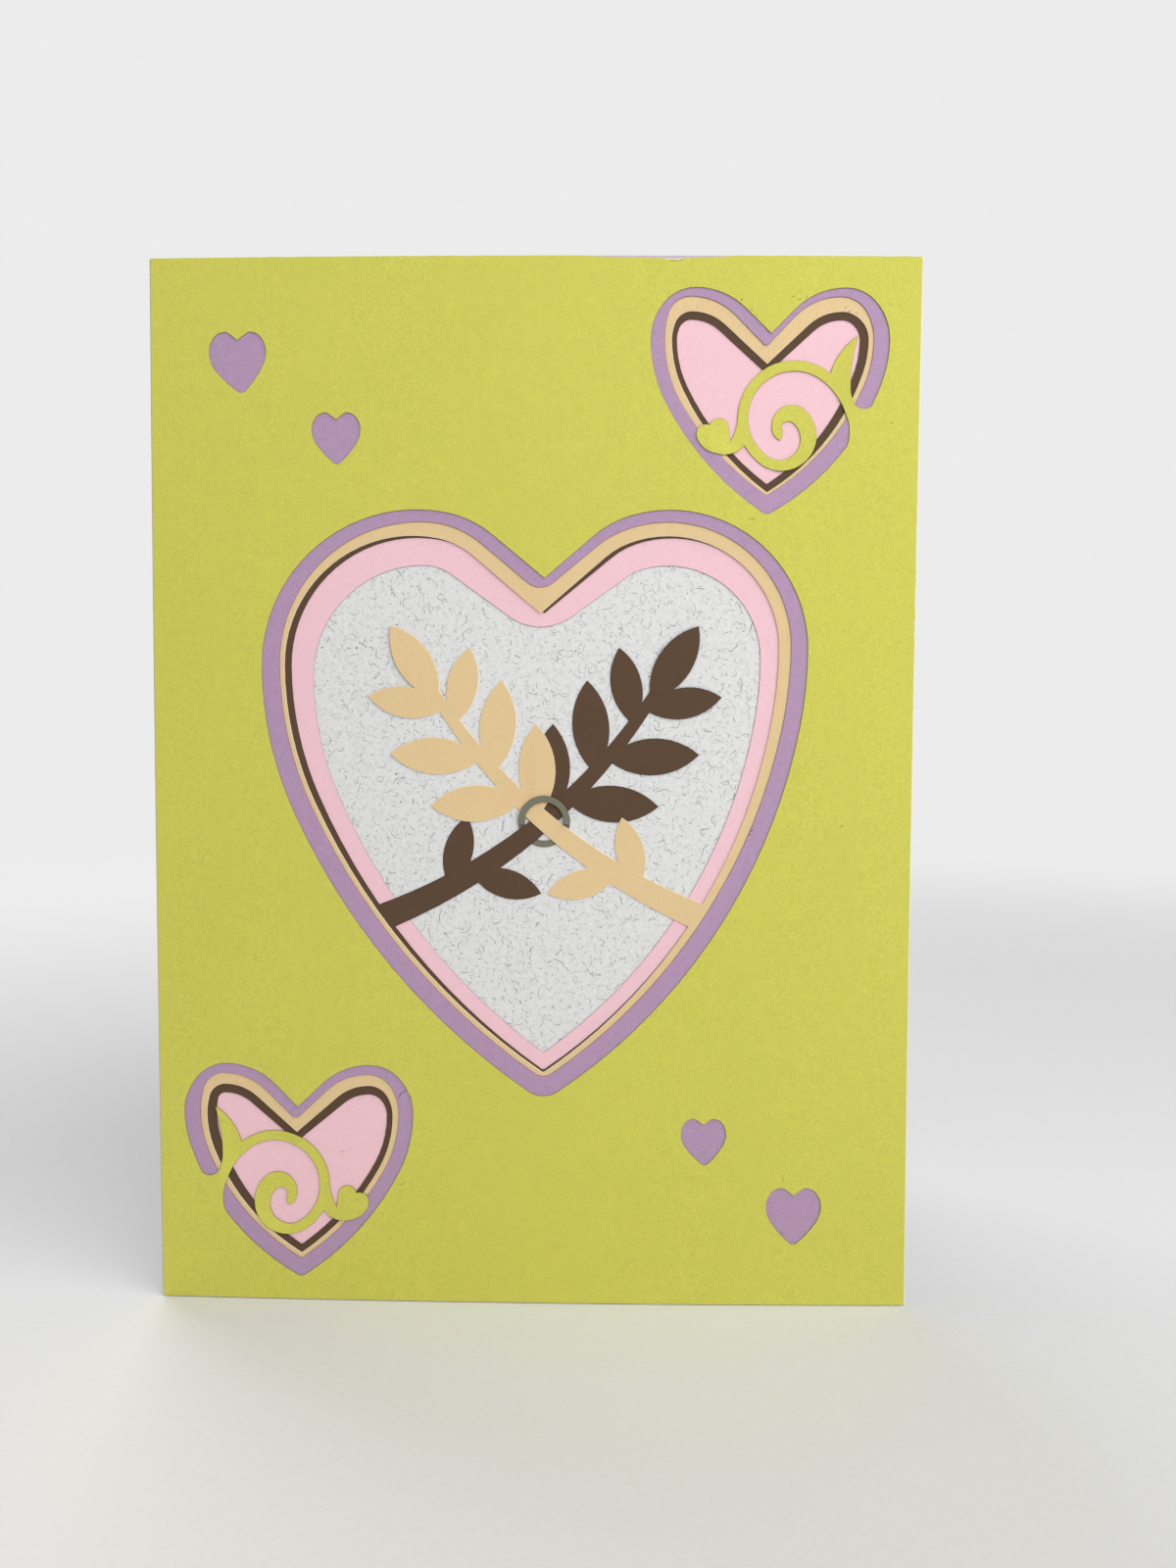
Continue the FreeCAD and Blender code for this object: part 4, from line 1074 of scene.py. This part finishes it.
@dataclass(frozen=True)
class Lamp:
    """A square soft lamp that faces the card's middle."""

    name: str
    place: tuple[float, float, float]
    size: float
    power: float
    target: tuple[float, float, float] = (0.0, -0.03, 0.09)

    def hang(self) -> None:
        """Puts the lamp in the scene."""
        data = bpy.data.lights.new(self.name, "AREA")
        data.shape = "SQUARE"
        data.size = self.size
        data.energy = self.power
        lamp = bpy.data.objects.new(self.name, data)
        bpy.context.scene.collection.objects.link(lamp)
        lamp.visible_camera = False
        lamp.location = self.place
        lamp.rotation_euler = (Vector(self.target) - Vector(self.place)).to_track_quat("-Z", "Y").to_euler()


@dataclass(frozen=True)
class Studio:
    """A plain pale floor, soft lamps and the camera."""

    backdrop: float = 0.84
    world_light: float = 0.27
    camera_place: tuple[float, float, float] = (0.01301, -0.23799, 0.09995)
    camera_turn: tuple[float, float, float] = (-2.799, 1.041, -0.272)
    focal_pixels: float = 1202.0
    floor_size: float = 12.0
    floor_cells: int = 8
    fade_start: float = 0.12
    fade_end: float = 0.75
    lamps: tuple[Lamp, ...] = (
        Lamp("key", (0.32, -0.38, 0.46), 0.7, 4.3),
        Lamp("back_fill", (-0.5, 0.7, 0.6), 0.8, 6.0),
    )

    def build(self) -> None:
        """Sets up the floor, the light and the camera."""
        self.floor()
        self.world()
        for lamp in self.lamps:
            lamp.hang()
        self.camera()
        bpy.context.scene.view_settings.view_transform = "Standard"

    def floor(self) -> None:
        """Lays the floor, which turns into the plain background far from the card."""
        deselect_all()
        cells = {"x_subdivisions": self.floor_cells, "y_subdivisions": self.floor_cells}
        bpy.ops.mesh.primitive_grid_add(size=self.floor_size, location=(0.0, 0.0, 0.0), **cells)
        floor = bpy.context.object
        floor.name = "floor"
        floor.data.materials.append(self.floor_finish())

    def floor_finish(self) -> bpy.types.Material:
        """Makes the pale matt floor, which fades into the background away from the card."""
        bench = NodeBench(bpy.data.materials.new("pale_floor"))
        place = bench.add("ShaderNodeTexCoord").outputs["Object"]
        grain = bench.noise(place, 0.8 * MM, 2.0)
        pale = bench.spread(grain, 0.3, 0.7, 0.73, 0.75)
        base = bench.add("ShaderNodeCombineColor")
        for socket in base.inputs[:3]:
            bench.join(pale, socket)
        rough = bench.spread(grain, 0.3, 0.7, 0.75, 0.85)
        matt = bench.matt(base.outputs[0], rough, grain, 0.01 * MM)
        fade = bench.spread(bench.length(place), self.fade_start, self.fade_end, 0.0, 1.0, smooth=True)
        seen = bench.add("ShaderNodeLightPath").outputs["Is Camera Ray"]
        plain = bench.plain("ShaderNodeEmission", self.backdrop)
        return bench.finish(bench.mix_shaders(bench.product(fade, seen), matt, plain))

    def world(self) -> None:
        """Lights the scene evenly, with a plain pale background for the camera."""
        world = bpy.data.worlds.new("studio")
        bpy.context.scene.world = world
        bench = NodeBench(world)
        rays = bench.add("ShaderNodeLightPath").outputs
        seen = bench.strongest([rays["Is Camera Ray"], rays["Is Glossy Ray"]])
        light = bench.plain("ShaderNodeBackground", 1.0, self.world_light)
        back = bench.plain("ShaderNodeBackground", self.backdrop)
        bench.finish(bench.mix_shaders(seen, light, back))

    def camera(self) -> None:
        """Puts the camera where the photograph was taken from."""
        data = bpy.data.cameras.new("camera")
        data.sensor_width = SENSOR
        data.lens = self.focal_pixels / PHOTO_HEIGHT * SENSOR
        data.clip_start = 0.01
        data.clip_end = 100.0
        camera = bpy.data.objects.new("camera", data)
        bpy.context.scene.collection.objects.link(camera)
        pitch, yaw, roll = (math.radians(turn) for turn in self.camera_turn)
        level = Matrix.Rotation(yaw, 3, "Z") @ Matrix.Rotation(pitch, 3, "X") @ Matrix.Rotation(roll, 3, "Y")
        camera.rotation_euler = (level @ Matrix.Rotation(math.pi / 2, 3, "X")).to_euler()
        camera.location = self.camera_place
        bpy.context.scene.camera = camera


def main() -> None:
    """Builds the card and the studio."""
    logging.basicConfig(level=logging.INFO, format="%(name)s: %(message)s")
    FoldedPaper().build()
    LayeredFront().build()
    Studio().build()


if __name__ == "__main__":
    main()
